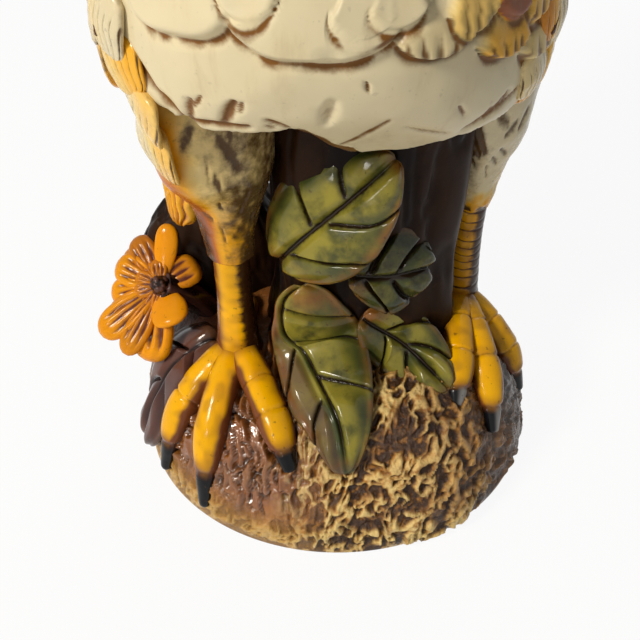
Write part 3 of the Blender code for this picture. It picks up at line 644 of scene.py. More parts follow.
ROCK_RINGS, ROCK_SIDES, UNDER_RINGS = 190, 490, 10
LIP_FROM, INNER_WIDE, INNER_DEEP, WALL = 0.97, 0.084, 0.074, 0.011
turn = np.arange(ROCK_SIDES) / ROCK_SIDES
angle = np.pi / 2 + 2 * np.pi * turn + 0.62 * np.sin(2 * np.pi * turn)
q, angle = np.meshgrid(np.linspace(0, 1, ROCK_RINGS + 1)[1:], angle, indexing="ij")
reach = np.sin(np.pi / 2 * np.minimum(q / LIP_FROM, 1))
x, y = BASE_WIDE * reach * np.cos(angle), BASE_DEEP * reach * np.sin(angle)
lip = BASE_LIP * (1 - (q - LIP_FROM) / 0.03)
outer = np.stack([x, y, np.where(q > LIP_FROM, lip, mound(x, y))], -1)
reach = np.sin(np.pi / 2 * np.linspace(0.98, 0.02, UNDER_RINGS)[:, None])
under_x = INNER_WIDE * reach * np.cos(angle[:1])
under_y = INNER_DEEP * reach * np.sin(angle[:1])
under = np.stack([under_x, under_y, np.maximum(0, mound(under_x / 0.933, under_y / 0.925) - WALL)], -1)
print("rock grid", outer.shape[:2])

# %% Rock relief
out = grid_normals(np.concatenate([outer, under]))[:ROCK_RINGS]
x, y, z = outer[..., 0], outer[..., 1], outer[..., 2]
hump = smooth(-0.034, 0.004, x + 0.010 * noise(outer, 0.02, 2)) * smooth(0.060, -0.005, y)
foot_side = smooth(0.004, -0.030, x) * smooth(0.014, 0.026, z + 0.004 * noise(outer, 0.012, 4))
wander = 0.0026 * np.stack([noise(outer, 0.006, s) for s in (61, 62, 63)], -1)
tilt = outer @ np.array([[1.0, 0.55, 0.0], [-0.55, 0.75, 0.0], [0.0, 0.0, 0.85]])
broken = smooth(-0.55, 0.15, noise(outer, 0.0085, 12))
worm = rough((tilt + wander) * [1.0, 0.72, 0.85], 0.0034, 2, 11)
vein = bell(worm, 0.27) * (0.35 + 0.65 * broken)
crumb = rough(outer, 0.0026, 2, 23)
drip = rough(np.stack([x * 1.5, y * 0.30, z * 0.30], -1) + wander, 0.0038, 2, 31)
crease = bell(drip, 0.13)
pool = bell(np.hypot(x - 0.067, y + 0.017), 0.021)
coarse = (0.45 + 0.55 * hump) * (1 - 0.92 * foot_side) * (1 - 0.75 * pool)
flow = foot_side * smooth(0.010, -0.030, y)
lump = np.hypot(x - 0.038, y + 0.056)
boss = 0.0050 * bell(lump, 0.024) - 0.0022 * bell(lump - 0.035, 0.010) * smooth(-0.015, -0.035, y)
shoulder = bell(np.hypot(x + 0.0745, y - 0.020), 0.018)
relief = boss + 0.0018 * rough(outer, 0.040, 3, 3) + 0.0031 * coarse * (vein + 0.20 * crumb - 0.45)
relief = relief + 0.0036 * flow * (0.8 * drip - crease) + 0.0085 * shoulder
rock = np.concatenate([outer + out * (relief * smooth(0.0, 0.006, z))[..., None], under])
print("rock relief", relief.min().round(4), "to", relief.max().round(4))

# %% Rock marks
patchy = noise(outer, 0.021, 7) + 0.5 * noise(outer, 0.007, 8)
band = smooth(-0.026, -0.044, y + 0.006 * noise(outer, 0.010, 9)) * smooth(0.074, 0.052, x)
by_hand = 0.30 * patchy * (0.4 + 0.6 * band)
brushed = hump * np.clip(0.08 + 0.90 * band * (0.30 + 0.70 * smooth(0.062, 0.022, x)) + by_hand, 0, 1)
rim = smooth(0.020, 0.007, z) * smooth(0.075, 0.050, x)


def with_underside(values):
    return np.concatenate([np.clip(values, 0, 1), np.zeros(under.shape[:2])])


# The wash is raised on the rock's right side and on the shoulder behind the flower: painted shade there.
rock_marks = {
    "wash": with_underside(0.05 + 0.25 * smooth(0.050, 0.085, x) + 0.3 * smooth(-0.01, 0.05, y)
                           + 0.8 * shoulder + 0.55 * pool),
    # The low mark's near-black in the worm valleys is partly brown stain and partly painted crevice shade.
    "low": with_underside(np.maximum(coarse * smooth(0.70, 0.26, vein + 0.12 * crumb), flow * crease)),
    "dry": with_underside(smooth(0.42, 0.80, vein + 0.10 * crumb) * (brushed * (1 - pool) + 0.45 * rim)),
    "side": with_underside(foot_side),
    "wet": with_underside(flow * (1 - shoulder) + 0.8 * pool),
    "rim": with_underside(rim),
}
print("rock marks:", ", ".join(rock_marks))


# %% Rock glaze
def rock_colour(tree):
    body = mix(tree, mark(tree, "side"), (0.480, 0.200, 0.026), (0.250, 0.084, 0.018))
    body = mix(tree, between(tree, 0.38, 0.72, spots(tree, 70.0)), body, (0.250, 0.095, 0.020))
    body = mix(tree, times(tree, mark(tree, "rim"), 0.6), body, (0.520, 0.290, 0.050))
    # Near-black in the valleys: partly brown stain, partly painted crevice shade.
    low = times(tree, mark(tree, "low"), between(tree, 0.20, 0.50, spots(tree, 330.0)))
    body = mix(tree, times(tree, low, 0.97), body, (0.030, 0.010, 0.002))
    brush = times(tree, mark(tree, "dry"), between(tree, 0.28, 0.55, spots(tree, 300.0)))
    return mix(tree, brush, body, (0.820, 0.600, 0.230))


def rock_grit(tree):
    """Crumbs too fine for the mesh."""
    dry = calc(tree, "MULTIPLY_ADD", mark(tree, "wet"), -1.6, 1.6)
    return times(tree, spots(tree, 520.0, 4.0, 0.65), dry)


rock_glaze = glaze("stone_glaze", rock_colour, wash_colour=(0.030, 0.011, 0.004), wiping=0.55, sponge=300.0,
                   pooling=0.2, specks=0.3, gloss=0.34, bump=0.8, shine=0.40, height_from=rock_grit,
                   wet="wet")
place("carved_rock", tube_mesh("carved_rock", rock, rock_marks), rock_glaze, "rock_base")

# %% [markdown]
# ## Plant column
# A square stump props the belly, and a bank of the same clay leans on it behind the right leg. Both are
# nearly all in shade. They get upright bark furrows and a near-black glaze that paints shade over dark clay.

# %% Stump
COLUMN_X, COLUMN_Y, COLUMN_WIDE, COLUMN_DEEP = 0.007, 0.008, 0.034, 0.030
flare = np.array([1.2, 1.0, 1.0, 1.05])
column = Sweep([(COLUMN_X, COLUMN_Y, z) for z in np.linspace(0.048, 0.181, 4)], flare * COLUMN_WIDE,
               flare * COLUMN_DEEP, FRONT, (0.04, 0.04), 3.0)


def bark_relief(t, angle, points):
    furrow = rough(points * [1, 1, 0.22], 0.010, 3, 51)
    return 0.0016 * furrow - 0.0014 * bell(furrow, 0.12), {"wash": np.clip(0.5 - furrow, 0, 1)}


def stump_relief(t, angle, points):
    """Bark with a swelling that fills the corner beside the left leg."""
    height, marks = bark_relief(t, angle, points)
    return height + 0.0085 * smooth(0.70, 0.95, np.cos(angle)), marks


# Its near-black colour and the black wash in the furrows are partly dark clay and partly painted shade.
bark_glaze = glaze("bark_glaze", plain((0.028, 0.011, 0.004)), wash_colour=(0.006, 0.003, 0.002), gloss=0.42,
                   coat=0.0, shine=0.08)
carve("bark_stump", column, column.grid(90, 220, 0.9), stump_relief, bark_glaze, "plant_column")
bank = Sweep([(-0.024, 0.034, 0.096), (-0.042, 0.035, 0.086), (-0.060, 0.032, 0.072), (-0.080, 0.026, 0.054)],
             (0.013, 0.016, 0.018, 0.018), (0.046, 0.042, 0.037, 0.036), UP, (0.15, 0.42), 2.0)
carve("bark_bank", bank, bank.grid(140, 140, 0.8), bark_relief, bark_glaze, "plant_bank")

# %% [markdown]
# ## Leaves
# Each leaf is a pressed slab with a cut midrib and cut side veins. Between two veins the clay swells up
# steeply from the upper vein and sinks slowly to the next one, and the glaze darkens in the cuts. So a
# leaf is described by where its veins leave the midrib on each side, how far they lean to the tip, and
# where the midrib runs.

# %% Leaf relief
LEAF_STANDOFF, LEAF_DEPTH, LEAF_PUFF = 0.0024, 0.0036, 0.0026


def on_column(x, z):
    off = min(abs(x - COLUMN_X) / COLUMN_WIDE, 0.95)
    return (x, COLUMN_Y - COLUMN_DEEP * (1 - off**3) ** (1 / 3) - LEAF_STANDOFF, z)


def leaf_body(spine, half_width, facing, outline=(0.35, 0.85, 1.0, 0.8, 0.3)):
    thick = np.array([0.8, 1.0, 1.0, 0.9, 0.7]) * LEAF_DEPTH
    return Sweep(spine, half_width * np.array(outline), thick, facing, (0.1, 0.14))


def leaf_relief(body, midrib, veins, lean, seed, stained, shade):
    """veins and lean are given for the side where the section's cosine is negative, then for the other."""
    def relief(t, angle, points):
        side, top = np.cos(angle), smooth(0.0, 0.25, np.sin(angle))
        middle = spline(midrib, t) + 0.03 * noise(points, 0.02, seed)
        right = side > middle
        out = np.where(right, (side - middle) / (1 - middle), (middle - side) / (1 + middle))
        half = spline(body.wide, t) * body.fullness(t)
        rib_gap = np.abs(side - middle) * half
        swell, cut, panel = 0 * t, 0 * t, 0 * t
        for chosen, places, slope in ((~right, veins[0], lean[0]), (right, veins[1], lean[1])):
            line = t - slope * out**1.25 + 0.012 * noise(points, 0.012, seed + 3)
            stops = np.array([-0.6, *places, 1.35])
            index = np.clip(np.searchsorted(stops, line) - 1, 0, len(stops) - 2)
            share = np.clip((line - stops[index]) / (stops[index + 1] - stops[index]), 0, 1)
            nearest = np.min([np.abs(line - v) for v in places], axis=0)
            gap = nearest * body.length / math.hypot(1, 2.2 * slope)
            rise = smooth(0.0, 0.20, share) * (1 - 0.62 * share) * 1.35
            swell = np.where(chosen, rise, swell)
            cut = np.where(chosen, bell(gap, 0.0009 - 0.0003 * out), cut)
            panel = np.where(chosen, scatter(index, index * 0 + seed, right.astype(int), 5), panel)
        rim = smooth(0.72, 1.0, np.abs(side)) + smooth(0.90, 0.99, t) + smooth(0.10, 0.02, t)
        swell = swell * smooth(0.0, 0.0040, rib_gap) * (1 - smooth(0.55, 1.0, out) * 0.8)
        rib = bell(rib_gap, 0.0011) * (1 - 0.6 * smooth(0.75, 1.0, t))
        ridge = bell(rib_gap - 0.0006, 0.0007)
        if stained:
            rib = bell((middle - side) * half - 0.0016, 0.0007) * smooth(1.0, 0.8, t)
            ridge = 2 * bell(rib_gap, 0.0010)
        height = LEAF_PUFF * swell - 0.0017 * cut * smooth(0.05, 0.2, out) - 0.0016 * rib + 0.0006 * ridge
        height = height + 0.0005 * noise(points, 0.012, seed + 7) + 0.0008 * bell(np.abs(side) - 0.93, 0.07)
        wash = (np.maximum(0.95 * rib, 0.9 * cut * smooth(0.02, 0.12, out))
                + 0.35 * smooth(0.90, 1.0, np.abs(side)))
        cloud = 0.7 * noise(points, 0.011, seed + 9)
        # shade is painted shade: it lowers the warm tone and raises the wash of a leaf that lies in shadow.
        warm = np.clip(0.10 + 0.35 * panel + cloud + 0.9 * swell * smooth(0.9, 0.3, out), 0, 1) - shade
        plum = stained * right * smooth(0.02, 0.25, out)
        plum = plum * np.clip(0.9 + 0.5 * noise(points, 0.012, seed + 5), 0, 1)
        stalk = 0.8 * smooth(0.30, 0.02, t + 0.12 * noise(points, 0.010, seed))
        rim = rim + 0.8 * stained * right * smooth(0.45, 0.9, out) + stalk
        return height * top, {"wash": np.where(top > 0, wash + 0.5 * shade, 0.6),
                              "rim": np.clip(rim, 0, 1) * (0.55 + 0.45 * panel), "warm": warm, "plum": plum}
    return relief


print("leaves stand off by", LEAF_STANDOFF)


# %% Leaf finishes
def leaf_colour(tree):
    fresh = mix(tree, mark(tree, "warm"), (0.052, 0.064, 0.015), (0.270, 0.230, 0.030))
    fresh = mix(tree, between(tree, 0.40, 0.75, spots(tree, 95.0, 5.0)), fresh, (0.036, 0.044, 0.013))
    fresh = mix(tree, mark(tree, "plum"), fresh, (0.150, 0.085, 0.055))
    edge = times(tree, mark(tree, "rim"), between(tree, 0.30, 0.62, spots(tree, 120.0, 5.0)))
    return mix(tree, times(tree, edge, 0.90), fresh, (0.220, 0.075, 0.014))


def brown_leaf_colour(tree):
    body = mix(tree, mark(tree, "warm"), (0.045, 0.020, 0.018), (0.115, 0.048, 0.034))
    return mix(tree, times(tree, mark(tree, "rim"), 0.6), body, (0.150, 0.070, 0.022))


leaf_glaze = glaze("leaf_glaze", leaf_colour, wash_colour=(0.018, 0.010, 0.004), wiping=0.60, sponge=330.0,
                   pooling=0.22, specks=0.5, gloss=0.20, bump=0.25, coat=0.32)
brown_glaze = glaze("brown_glaze", brown_leaf_colour, wash_colour=(0.016, 0.007, 0.005), wiping=0.35,
                    gloss=0.18, bump=0.25, coat=0.25)
print("leaf finishes ready")

# %% The five leaves
GROUND_ROOT, GROUND_TIP = np.array((-0.0530, -0.0100)), np.array((-0.0874, -0.0225))
ground_plan = [GROUND_ROOT * (1 - s) + GROUND_TIP * s for s in (0, 0.33, 0.67, 1)]
# Each leaf's body, where its midrib runs across it, and the veins and lean of its two sides.
leaves = {
    "leaf_upper": (leaf_body([on_column(-0.0228, 0.112), on_column(-0.0106, 0.130), on_column(0.0030, 0.1475),
                              on_column(0.0191, 0.165)], 0.0225, (-0.3, -1, 0.45)),
                   (0.0, -0.05, 0.0, 0.05), ((0.42, 0.68), (0.16, 0.50)), (0.14, 0.34)),
    "leaf_shaded": (leaf_body([on_column(0.0041, 0.112), on_column(0.0196, 0.114),
                               on_column(0.0353, 0.110)], 0.0190, (0.5, -1, 0.3)),
                    (0.0, 0.1, 0.0), ((0.25, 0.55), (0.2, 0.5)), (0.3, 0.3)),
    "leaf_front": (leaf_body([on_column(-0.0150, 0.1030), on_column(-0.0115, 0.0875),
                              on_column(-0.0080, 0.0740), on_mound(-0.0038, -0.0412, LEAF_STANDOFF),
                              on_mound(-0.0002, -0.0560, LEAF_STANDOFF),
                              on_mound(0.0026, -0.0695, LEAF_STANDOFF)], 0.0195, (-0.15, -1, 0.75),
                             (0.45, 0.90, 1.0, 0.82, 0.3)),
                   (0.95, 0.78, 0.34, 0.12, 0.03), ((0.10, 0.32, 0.56), (0.40, 0.67)), (0.14, 0.21)),
    "leaf_side": (leaf_body([on_column(0.0097, 0.0881), on_column(0.0264, 0.0722),
                             on_mound(0.0461, -0.0396, LEAF_STANDOFF)], 0.0150, (0.25, -1, 0.7)),
                  (0.05, 0.0, 0.0), ((0.28, 0.55), (0.30, 0.58)), (0.30, 0.22)),
    "leaf_ground": (Sweep(on_mound(*np.transpose(ground_plan), LEAF_STANDOFF),
                          (0.0115, 0.0185, 0.0185, 0.008), [LEAF_DEPTH] * 4, UP, (0.1, 0.14)),
                    (0.0, 0.1, 0.0), ((0.25, 0.6), (0.3, 0.65)), (0.2, 0.2)),
}
for number, (name, (body, midrib, veins, lean)) in enumerate(leaves.items()):
    # leaf_shaded gets painted shade: a darker tone and more wash.
    stained, shade = 0.75 * (name == "leaf_front"), 0.7 * (name == "leaf_shaded")
    sprig(name, body, body.grid(190, 180, 0.8, 0.74),
          leaf_relief(body, midrib, veins, lean, 100 + 13 * number, stained, shade),
          brown_glaze if name == "leaf_ground" else leaf_glaze)

# %% [markdown]
# ## Flower
# The flower beside the right foot is a cup of puffy petals. Each petal's inner face has finger grooves
# and its back is smooth. One petal is carved, and the row tree sets it round the flower's axis. The maker
# bent each petal by hand, so each has its own turn, lean, length and width, and a negative lean shows the
# smooth back.

# %% Petals
FLOWER_MIDDLE = np.array((-0.0772, 0.0042, 0.0805))
flower_axis = unit(np.array((-0.10, -0.72, 0.69)))
flower_across = np.array((1.0, 0.0, 0.0))
flower_up = unit(np.cross(flower_across, flower_axis)) * -1


def petal_shape(name):
    """A petal of unit size, from its root at the origin along +Y, with its grooved inner face up."""
    v, a = np.meshgrid(np.linspace(0.01, 0.99, 28), 2 * np.pi * np.arange(36) / 36, indexing="ij")
    side, face = np.cos(a), np.sin(a)
    half = 0.5 * (0.45 + 0.55 * smooth(0.0, 0.60, v)) * np.sqrt(1 - np.clip((v - 0.66) / 0.34, 0, 1) ** 2.6)
    groove = sum(bell(side - g * (0.70 + 0.30 * v), 0.13) for g in (-0.52, 0.0, 0.52)) * smooth(0.96, 0.60, v)
    thick = (0.45 + 0.55 * smooth(0.0, 0.6, v)) * np.sqrt(1 - np.clip((v - 0.78) / 0.22, 0, 1) ** 2)
    inner = face > 0
    z = thick * np.where(inner, face * (0.72 - 0.55 * np.minimum(groove, 1)), face * 0.62) - 0.9 * v**2
    marks = {"wash": np.where(inner, np.minimum(groove, 1), 0.10), "along": v, "across": side}
    return tube_mesh(name, np.stack([half * side, v, z], -1), marks, np.zeros(3))


def petal_colour(tree):
    body = mix(tree, times(tree, spots(tree, 60.0, 4.0), 0.8), (0.880, 0.370, 0.004), (0.720, 0.210, 0.004))
    body = mix(tree, times(tree, mark(tree, "tint"), 0.85), body, (0.260, 0.060, 0.012))
    return mix(tree, between(tree, 0.36, 0.02, mark(tree, "along")), body, (0.200, 0.050, 0.012))


orange_glaze = glaze("orange_glaze", petal_colour, wash_colour=(0.120, 0.030, 0.018), wiping=0.30,
                     sponge=260.0, pooling=0.2, gloss=0.16, bump=0.15, coat=0.06)
print("the flower faces", flower_axis.round(2))

# %% Petal rings
PETAL_UNEVENNESS, PETAL_SEED, PETAL_THICK = 0.06, 4, 0.34
# Each petal's tip to the right of, above and in front of the middle, its width and its tint.
petals_by_ring = {
    "flower_outer_petals": [(-0.0195, 0.0085, 0.007, 0.0150, 0.05), (-0.0212, -0.0050, 0.009, 0.0140, 0.0),
                            (-0.0225, -0.0115, 0.006, 0.0100, 0.15), (-0.0262, -0.0220, 0.005, 0.0150, 0.0),
                            (-0.0085, -0.0325, 0.006, 0.0190, 0.05), (-0.0110, 0.0215, 0.002, 0.0130, 0.65),
                            (-0.0165, 0.0160, 0.000, 0.0130, 0.45), (-0.0180, -0.0290, -0.001, 0.0120, 0.35),
                            (0.0050, -0.0150, 0.011, -0.0170, 0.0), (0.0030, 0.0235, 0.012, -0.0105, 0.0),
                            (0.0060, 0.0040, -0.016, 0.0150, 0.4), (-0.0100, 0.0060, -0.016, 0.0150, 0.4),
                            (-0.0060, -0.0160, -0.012, 0.0150, 0.4)],
    "flower_inner_petals": [(0.010 * math.cos(a), 0.010 * math.sin(a), 0.006, 0.0080, 0.55)
                            for a in (1.7, 2.2, 2.8, 3.4, 4.0, 4.6)],
}
for ring, (node, petals) in enumerate(petals_by_ring.items()):
    right, up, front, widths, tints = np.array(petals).T[..., None]
    reach = right * flower_across + up * flower_up + front * flower_axis
    lengths = np.linalg.norm(reach, axis=1, keepdims=True)
    sizes = np.concatenate([np.abs(widths), lengths, PETAL_THICK * np.abs(widths)], 1)
    seats = FLOWER_MIDDLE + flower_axis * 0.002 * ring + reach * 0.03
    turns = lying(np.sign(widths) * (flower_axis + 0 * reach), reach)
    mesh = set_in_rows(node, petal_shape("petal"), seats, turns, sizes, tints[:, 0], orange_glaze,
                       PETAL_UNEVENNESS, PETAL_SEED)
    place("glazed_" + node, mesh, orange_glaze, node)

# %% Flower centre and stem
BUTTON_RADIUS, BUTTON_DEPTH, STEM_RADIUS = 0.0042, 0.0068, 0.006
middle = FLOWER_MIDDLE + flower_axis * 0.0030
button = Sweep([middle + flower_axis * BUTTON_DEPTH * s for s in (-0.6, 0, 0.7)], [BUTTON_RADIUS] * 3,
               [BUTTON_RADIUS] * 3, UP, (0.3, 0.6))
root = on_mound(FLOWER_MIDDLE[0] * 0.72, FLOWER_MIDDLE[1] + 0.012, -0.004)
neck_end = FLOWER_MIDDLE + flower_axis * 0.002
stem = Sweep([root, (root + neck_end) / 2 + (0, 0, 0.004), neck_end], [STEM_RADIUS] * 3, [STEM_RADIUS] * 3,
             FRONT, (0.05, 0.05))


def button_relief(t, angle, points):
    near = pits(points, 0.0024, 3)
    return 0.0007 * smooth(0.7, 0.2, near), {"wash": smooth(0.35, 0.7, near), "warm": 0.8 + 0 * t,
                                             "rim": 0 * t}


def stem_relief(t, angle, points):
    rib = np.sin(angle * 5 + 4 * t)
    return 0.0003 * rib, {"wash": 0.5 - 0.4 * rib, "warm": 0.5 + 0 * t, "rim": 0 * t}


sprig("flower_centre", button, button.grid(40, 60, 0.5), button_relief, brown_glaze)
sprig("flower_stem", stem, stem.grid(60, 40, 0.9), stem_relief, brown_glaze)

# %% [markdown]
# ## Feet and shanks
# Toes are plain rolls of clay with one or two knuckle cuts, flooded with yellow glaze. Their lower sides
# stay brown where the wash pooled against the rock. The claws are black, and on one side of each claw of the
# left foot a grey sheen is painted as a reflection.

# %% Foot finish
def foot_colour(tree):
    body = mix(tree, times(tree, spots(tree, 75.0, 4.0), 0.6), (0.940, 0.500, 0.001), (0.820, 0.320, 0.001))
    body = mix(tree, mark(tree, "edge"), body, (0.185, 0.055, 0.016))
    # On the left foot one side of each claw is painted grey: a painted reflection on black glaze.
    claw = mix(tree, mark(tree, "painted_sheen"), (0.006, 0.006, 0.008), (0.300, 0.290, 0.280))
    return mix(tree, mark(tree, "claw"), body, claw)


amber_glaze = glaze("amber_glaze", foot_colour, wash_colour=(0.050, 0.018, 0.005), wiping=0.45, sponge=300.0,
                    pooling=0.18, specks=0.5, gloss=0.20, bump=0.18, coat=0.12)
SHANK_RADIUS, SHANK_LENGTH, TOE_WIDE, TOE_DEEP = 0.0078, 0.058, 0.0072, 0.0066
ANKLES = {"right": (-0.0430, -0.0150), "left": (0.0550, 0.0150)}
TOE_TIPS = {
    "right": {"middle": (-0.0590, -0.0610), "inner": (-0.0195, -0.0680), "outer": (-0.0790, -0.0400)},
    "left": {"middle": (0.0680, -0.0430), "inner": (0.0495, -0.0450), "outer": (0.0850, -0.0120)},
}
KNUCKLES = {"right": {"middle": (), "inner": (0.36, 0.60), "outer": (0.55,), "hind": (0.5,)},
            "left": {"middle": (0.30, 0.56), "inner": (0.30, 0.58), "outer": (0.40, 0.66), "hind": (0.5,)}}
print("ankles at", ANKLES)

# %% Toes
def toe_relief(knuckles, painted_sheen, seed):
    def relief(t, angle, points):
        top = smooth(-0.45, 0.25, np.sin(angle))
        bend = t + 0.010 * noise(points, 0.004, seed)
        crease = sum((bell(bend - k, 0.011) for k in knuckles), 0 * t) * top
        quick = bell(bend - 0.835, 0.014)
        claw = smooth(0.815, 0.865, bend)
        pad = bell(t - 0.66, 0.10)
        height = 0.0005 * pad - 0.0007 * crease - 0.0009 * quick - 0.0006 * claw
        height = height + 0.0002 * rough(points, 0.007, 3, seed)
        low = smooth(0.05, -0.55, np.sin(angle))
        wash = np.clip(0.35 * crease + 0.45 * quick + 0.8 * low + 0.3 * smooth(0.14, 0.04, t), 0, 1)
        wash = wash * (1 - 0.8 * claw)
        rise = np.sin(angle) + 0.16 * noise(points, 0.006, seed + 1)
        edge = smooth(0.82, 0.48, rise) + 0.75 * smooth(0.20, 0.06, t) + 0.8 * smooth(0.76, 0.84, bend)
        edge = np.clip(edge + 0.32 * smooth(0.0, 0.7, noise(points, 0.0055, seed + 5)), 0, 1)
        # A painted reflection: one side of each claw of the left foot turns grey.
        claw_sheen = painted_sheen * smooth(-0.1, 0.7, -np.cos(angle))
        return height, {"wash": wash, "edge": edge, "claw": claw, "painted_sheen": claw_sheen}
    return relief


for number, (side, (ankle_x, ankle_y)) in enumerate(ANKLES.items()):
    tips = {**TOE_TIPS[side], "hind": (ankle_x, ankle_y + 0.034)}
    for toe, (tip_x, tip_y) in tips.items():
        share = np.array((0.08, 0.3, 0.55, 0.8, 1))
        spine = on_mound(ankle_x + (tip_x - ankle_x) * share, ankle_y + (tip_y - ankle_y) * share,
                         0.003 * (1 - 0.6 * share))
        body = Sweep(spine, TOE_WIDE * np.array((0.95, 1, 1, 0.9, 0.42)),
                     TOE_DEEP * np.array((1, 1.05, 1, 0.85, 0.42)), UP, (0.06, 0.04))
        relief = toe_relief(KNUCKLES[side][toe], float(side == "left"), 200 + 7 * number)
        sprig(f"{side}_toe_{toe}", body, body.grid(120, 56, 0.85), relief, amber_glaze)

# %% Shanks
def shank_relief(depth, seed):
    def relief(t, angle, points):
        front = smooth(-0.5, 0.4, np.sin(angle))
        line = t * 15 + 0.35 * np.sin(angle + 0.6) + 0.25 * noise(points, 0.006, seed)
        scute = smooth(0.36, 0.5, np.abs(line - np.floor(line) - 0.5)) * front
        grain = noise(points * [1, 1, 2.2], 0.006, seed + 1)
        edge = (0.9 * smooth(-0.45, -0.95, np.cos(angle)) + 0.6 * smooth(0.40, 0.0, t) + 0.25 * grain
                + 0.5 * depth)
        wash = depth * scute + 0.55 * smooth(0.3, -0.6, np.sin(angle)) + 0.15 * smooth(0.90, 1.0, t)
        # The strong wash on the side facing +X is painted shade on the shank's right side.
        wash = wash + 0.3 * smooth(0.12, 0.0, t) + 0.80 * smooth(0.05, 0.65, np.cos(angle) + 0.10 * grain)
        flare = 0.0016 * smooth(0.22, 0.05, t) * (0.5 + 0.5 * np.cos(3 * (angle - np.pi / 2)))
        return flare - 0.0004 * depth * scute + 0.0003 * rough(points, 0.008, 3, seed), {
            "wash": np.clip(wash, 0, 1), "edge": np.clip(edge, 0, 1), "claw": 0 * t, "painted_sheen": 0 * t}
    return relief


# The left shank's larger depth deepens its scale cuts and darkens it overall; that darkening is partly
# painted shade.
for side, depth in (("right", 0.14), ("left", 0.85)):
    ankle_x, ankle_y = ANKLES[side]
    ground = float(mound(ankle_x, ankle_y))
    radii = SHANK_RADIUS * np.array((1.35, 1.05, 0.95, 1.0))
    heights = (-0.006, 0.35 * SHANK_LENGTH, 0.7 * SHANK_LENGTH, SHANK_LENGTH + 0.006)
    body = Sweep([(ankle_x, ankle_y, ground + h) for h in heights], radii, radii, FRONT, (0.05, 0.05))
    sprig(f"{side}_shank", body, body.grid(150, 72, 0.9), shank_relief(depth, 300), amber_glaze)

# %% [markdown]
# ## Plumage finishes
# The bird is cream, and the flanks, wings and tail run through amber and orange-brown to mauve and dark
# brown. One ramp holds those glazes in order, and a mark called tint chooses along it. A mark called ink
# draws dark brown outlines on top. Feathers add the barb effect: a cut for each barb, which holds the
# wash.

# %% Plumage ramp
PLUMAGE = ((0.0, (0.700, 0.610, 0.400)), (0.20, (0.760, 0.560, 0.200)), (0.38, (0.830, 0.400, 0.010)),
           (0.58, (0.480, 0.130, 0.012)), (0.78, (0.230, 0.085, 0.048)), (1.0, (0.040, 0.018, 0.010)))


def plumage_colour(tree):
    brush = spots(tree, 150.0, 4.0, 0.6, (1.0, 1.0, 0.22))
    swing = times(tree, calc(tree, "SUBTRACT", brush, 0.5), 0.10)
    body = ramp(tree, calc(tree, "ADD", mark(tree, "tint"), swing), PLUMAGE)
    body = mix(tree, times(tree, between(tree, 0.52, 0.80, brush), 0.30), body, (0.400, 0.310, 0.210))
    return mix(tree, mark(tree, "ink"), body, (0.040, 0.020, 0.010))


FEATHER_CUTS = {"Barbs": 11.0, "Slant": 0.55, "Waver": 0.10}


def barb_wash(tree):
    cuts = use(tree, barb_group, FEATHER_CUTS)
    most = times(tree, cuts["Groove"], 0.62)
    most = calc(tree, "MAXIMUM", most, times(tree, cuts["Rim"], 0.40))
    return calc(tree, "MAXIMUM", most, times(tree, between(tree, 0.30, 0.0, mark(tree, "along")), 0.9))


def barb_height(tree):
    cuts = use(tree, barb_group, FEATHER_CUTS)
    return calc(tree, "SUBTRACT", times(tree, cuts["Shaft"], 0.8), cuts["Groove"])


WASH_ON_CREAM = (0.190, 0.078, 0.014)
cream_glaze = glaze("cream_glaze", plumage_colour, wash_colour=WASH_ON_CREAM, wiping=0.45, sponge=240.0,
                    pooling=0.08, specks=0.12, gloss=0.36, bump=0.10, coat=0.06)
plume_glaze = glaze("plume_glaze", plumage_colour, wash_colour=(0.100, 0.052, 0.016), wiping=0.50,
                    sponge=340.0, pooling=0.14, specks=0.25, gloss=0.26, bump=0.15, coat=0.15)
feather_glaze = glaze("feather_glaze", plumage_colour, wash=barb_wash, wash_colour=(0.085, 0.032, 0.012),
                      wiping=0.40, sponge=260.0, pooling=0.12, specks=0.2, gloss=0.26, bump=0.45, coat=0.12,
                      height_from=barb_height)
print("plumage ramp with", len(PLUMAGE), "glazes")

# %% [markdown]
# ## Breast
# The torso is one cream casting with a boxy belly. Across the breast lie broad feather ends, pressed as
# scallops, each with a soft cushion above a sharp lower edge, and the wash sits under that edge. Low on
# the belly the maker left bare clay with a few tool nicks. A chart of azimuth and height places them all.

# %% Scallops and nicks
def scallops(u, v, plates):
    """Feather ends on a chart, each (middle, tip, half width, height, tint, lines). Later ones lie on top."""
    lift, stain, tint, ink = 0 * u, 0 * u, 0 * u, 0 * u
    for middle, tip, half, tall, shade, lines in plates:
        across = (u - middle) / half
        x = np.clip(np.abs(across), 0, 1)
        up = (v - tip) / tall
        edge = up - (1 - np.sqrt(1 - x**2))
        fade = (1 - smooth(1.0, 2.6, up)) * (1 - smooth(0.72, 1.0, x) * smooth(0.7, 1.2, up))
        fade = fade * (np.abs(across) < 1)
        inside = smooth(0.0, 0.10, edge) * fade
        lift = np.maximum(lift, smooth(0.0, 0.34, edge) * np.exp(-0.35 * np.maximum(edge, 0)) * fade)
        below = 0.62 * smooth(-0.0042, -0.0008, edge * tall) * (edge < 0)
        ring = np.maximum(bell(edge * tall + 0.0003, 0.0010), below) * fade
        comb = np.abs(np.cos(np.pi * lines * across / (0.75 + 0.25 * up)))
        cuts = smooth(0.76, 0.97, comb) * inside * smooth(1.5, 0.5, up)
        stain = np.maximum(stain * (1 - inside), np.maximum(ring, 0.85 * cuts * (lines > 0)))
        line = np.maximum(bell(edge * tall + 0.0002, 0.0011) * fade,
                          0.8 * cuts * smooth(1.0, 0.4, up)) * (lines > 0)
        ink = np.maximum(ink * (1 - inside), line)
        tint = tint * (1 - inside) + shade * inside
    return lift, stain, tint, ink


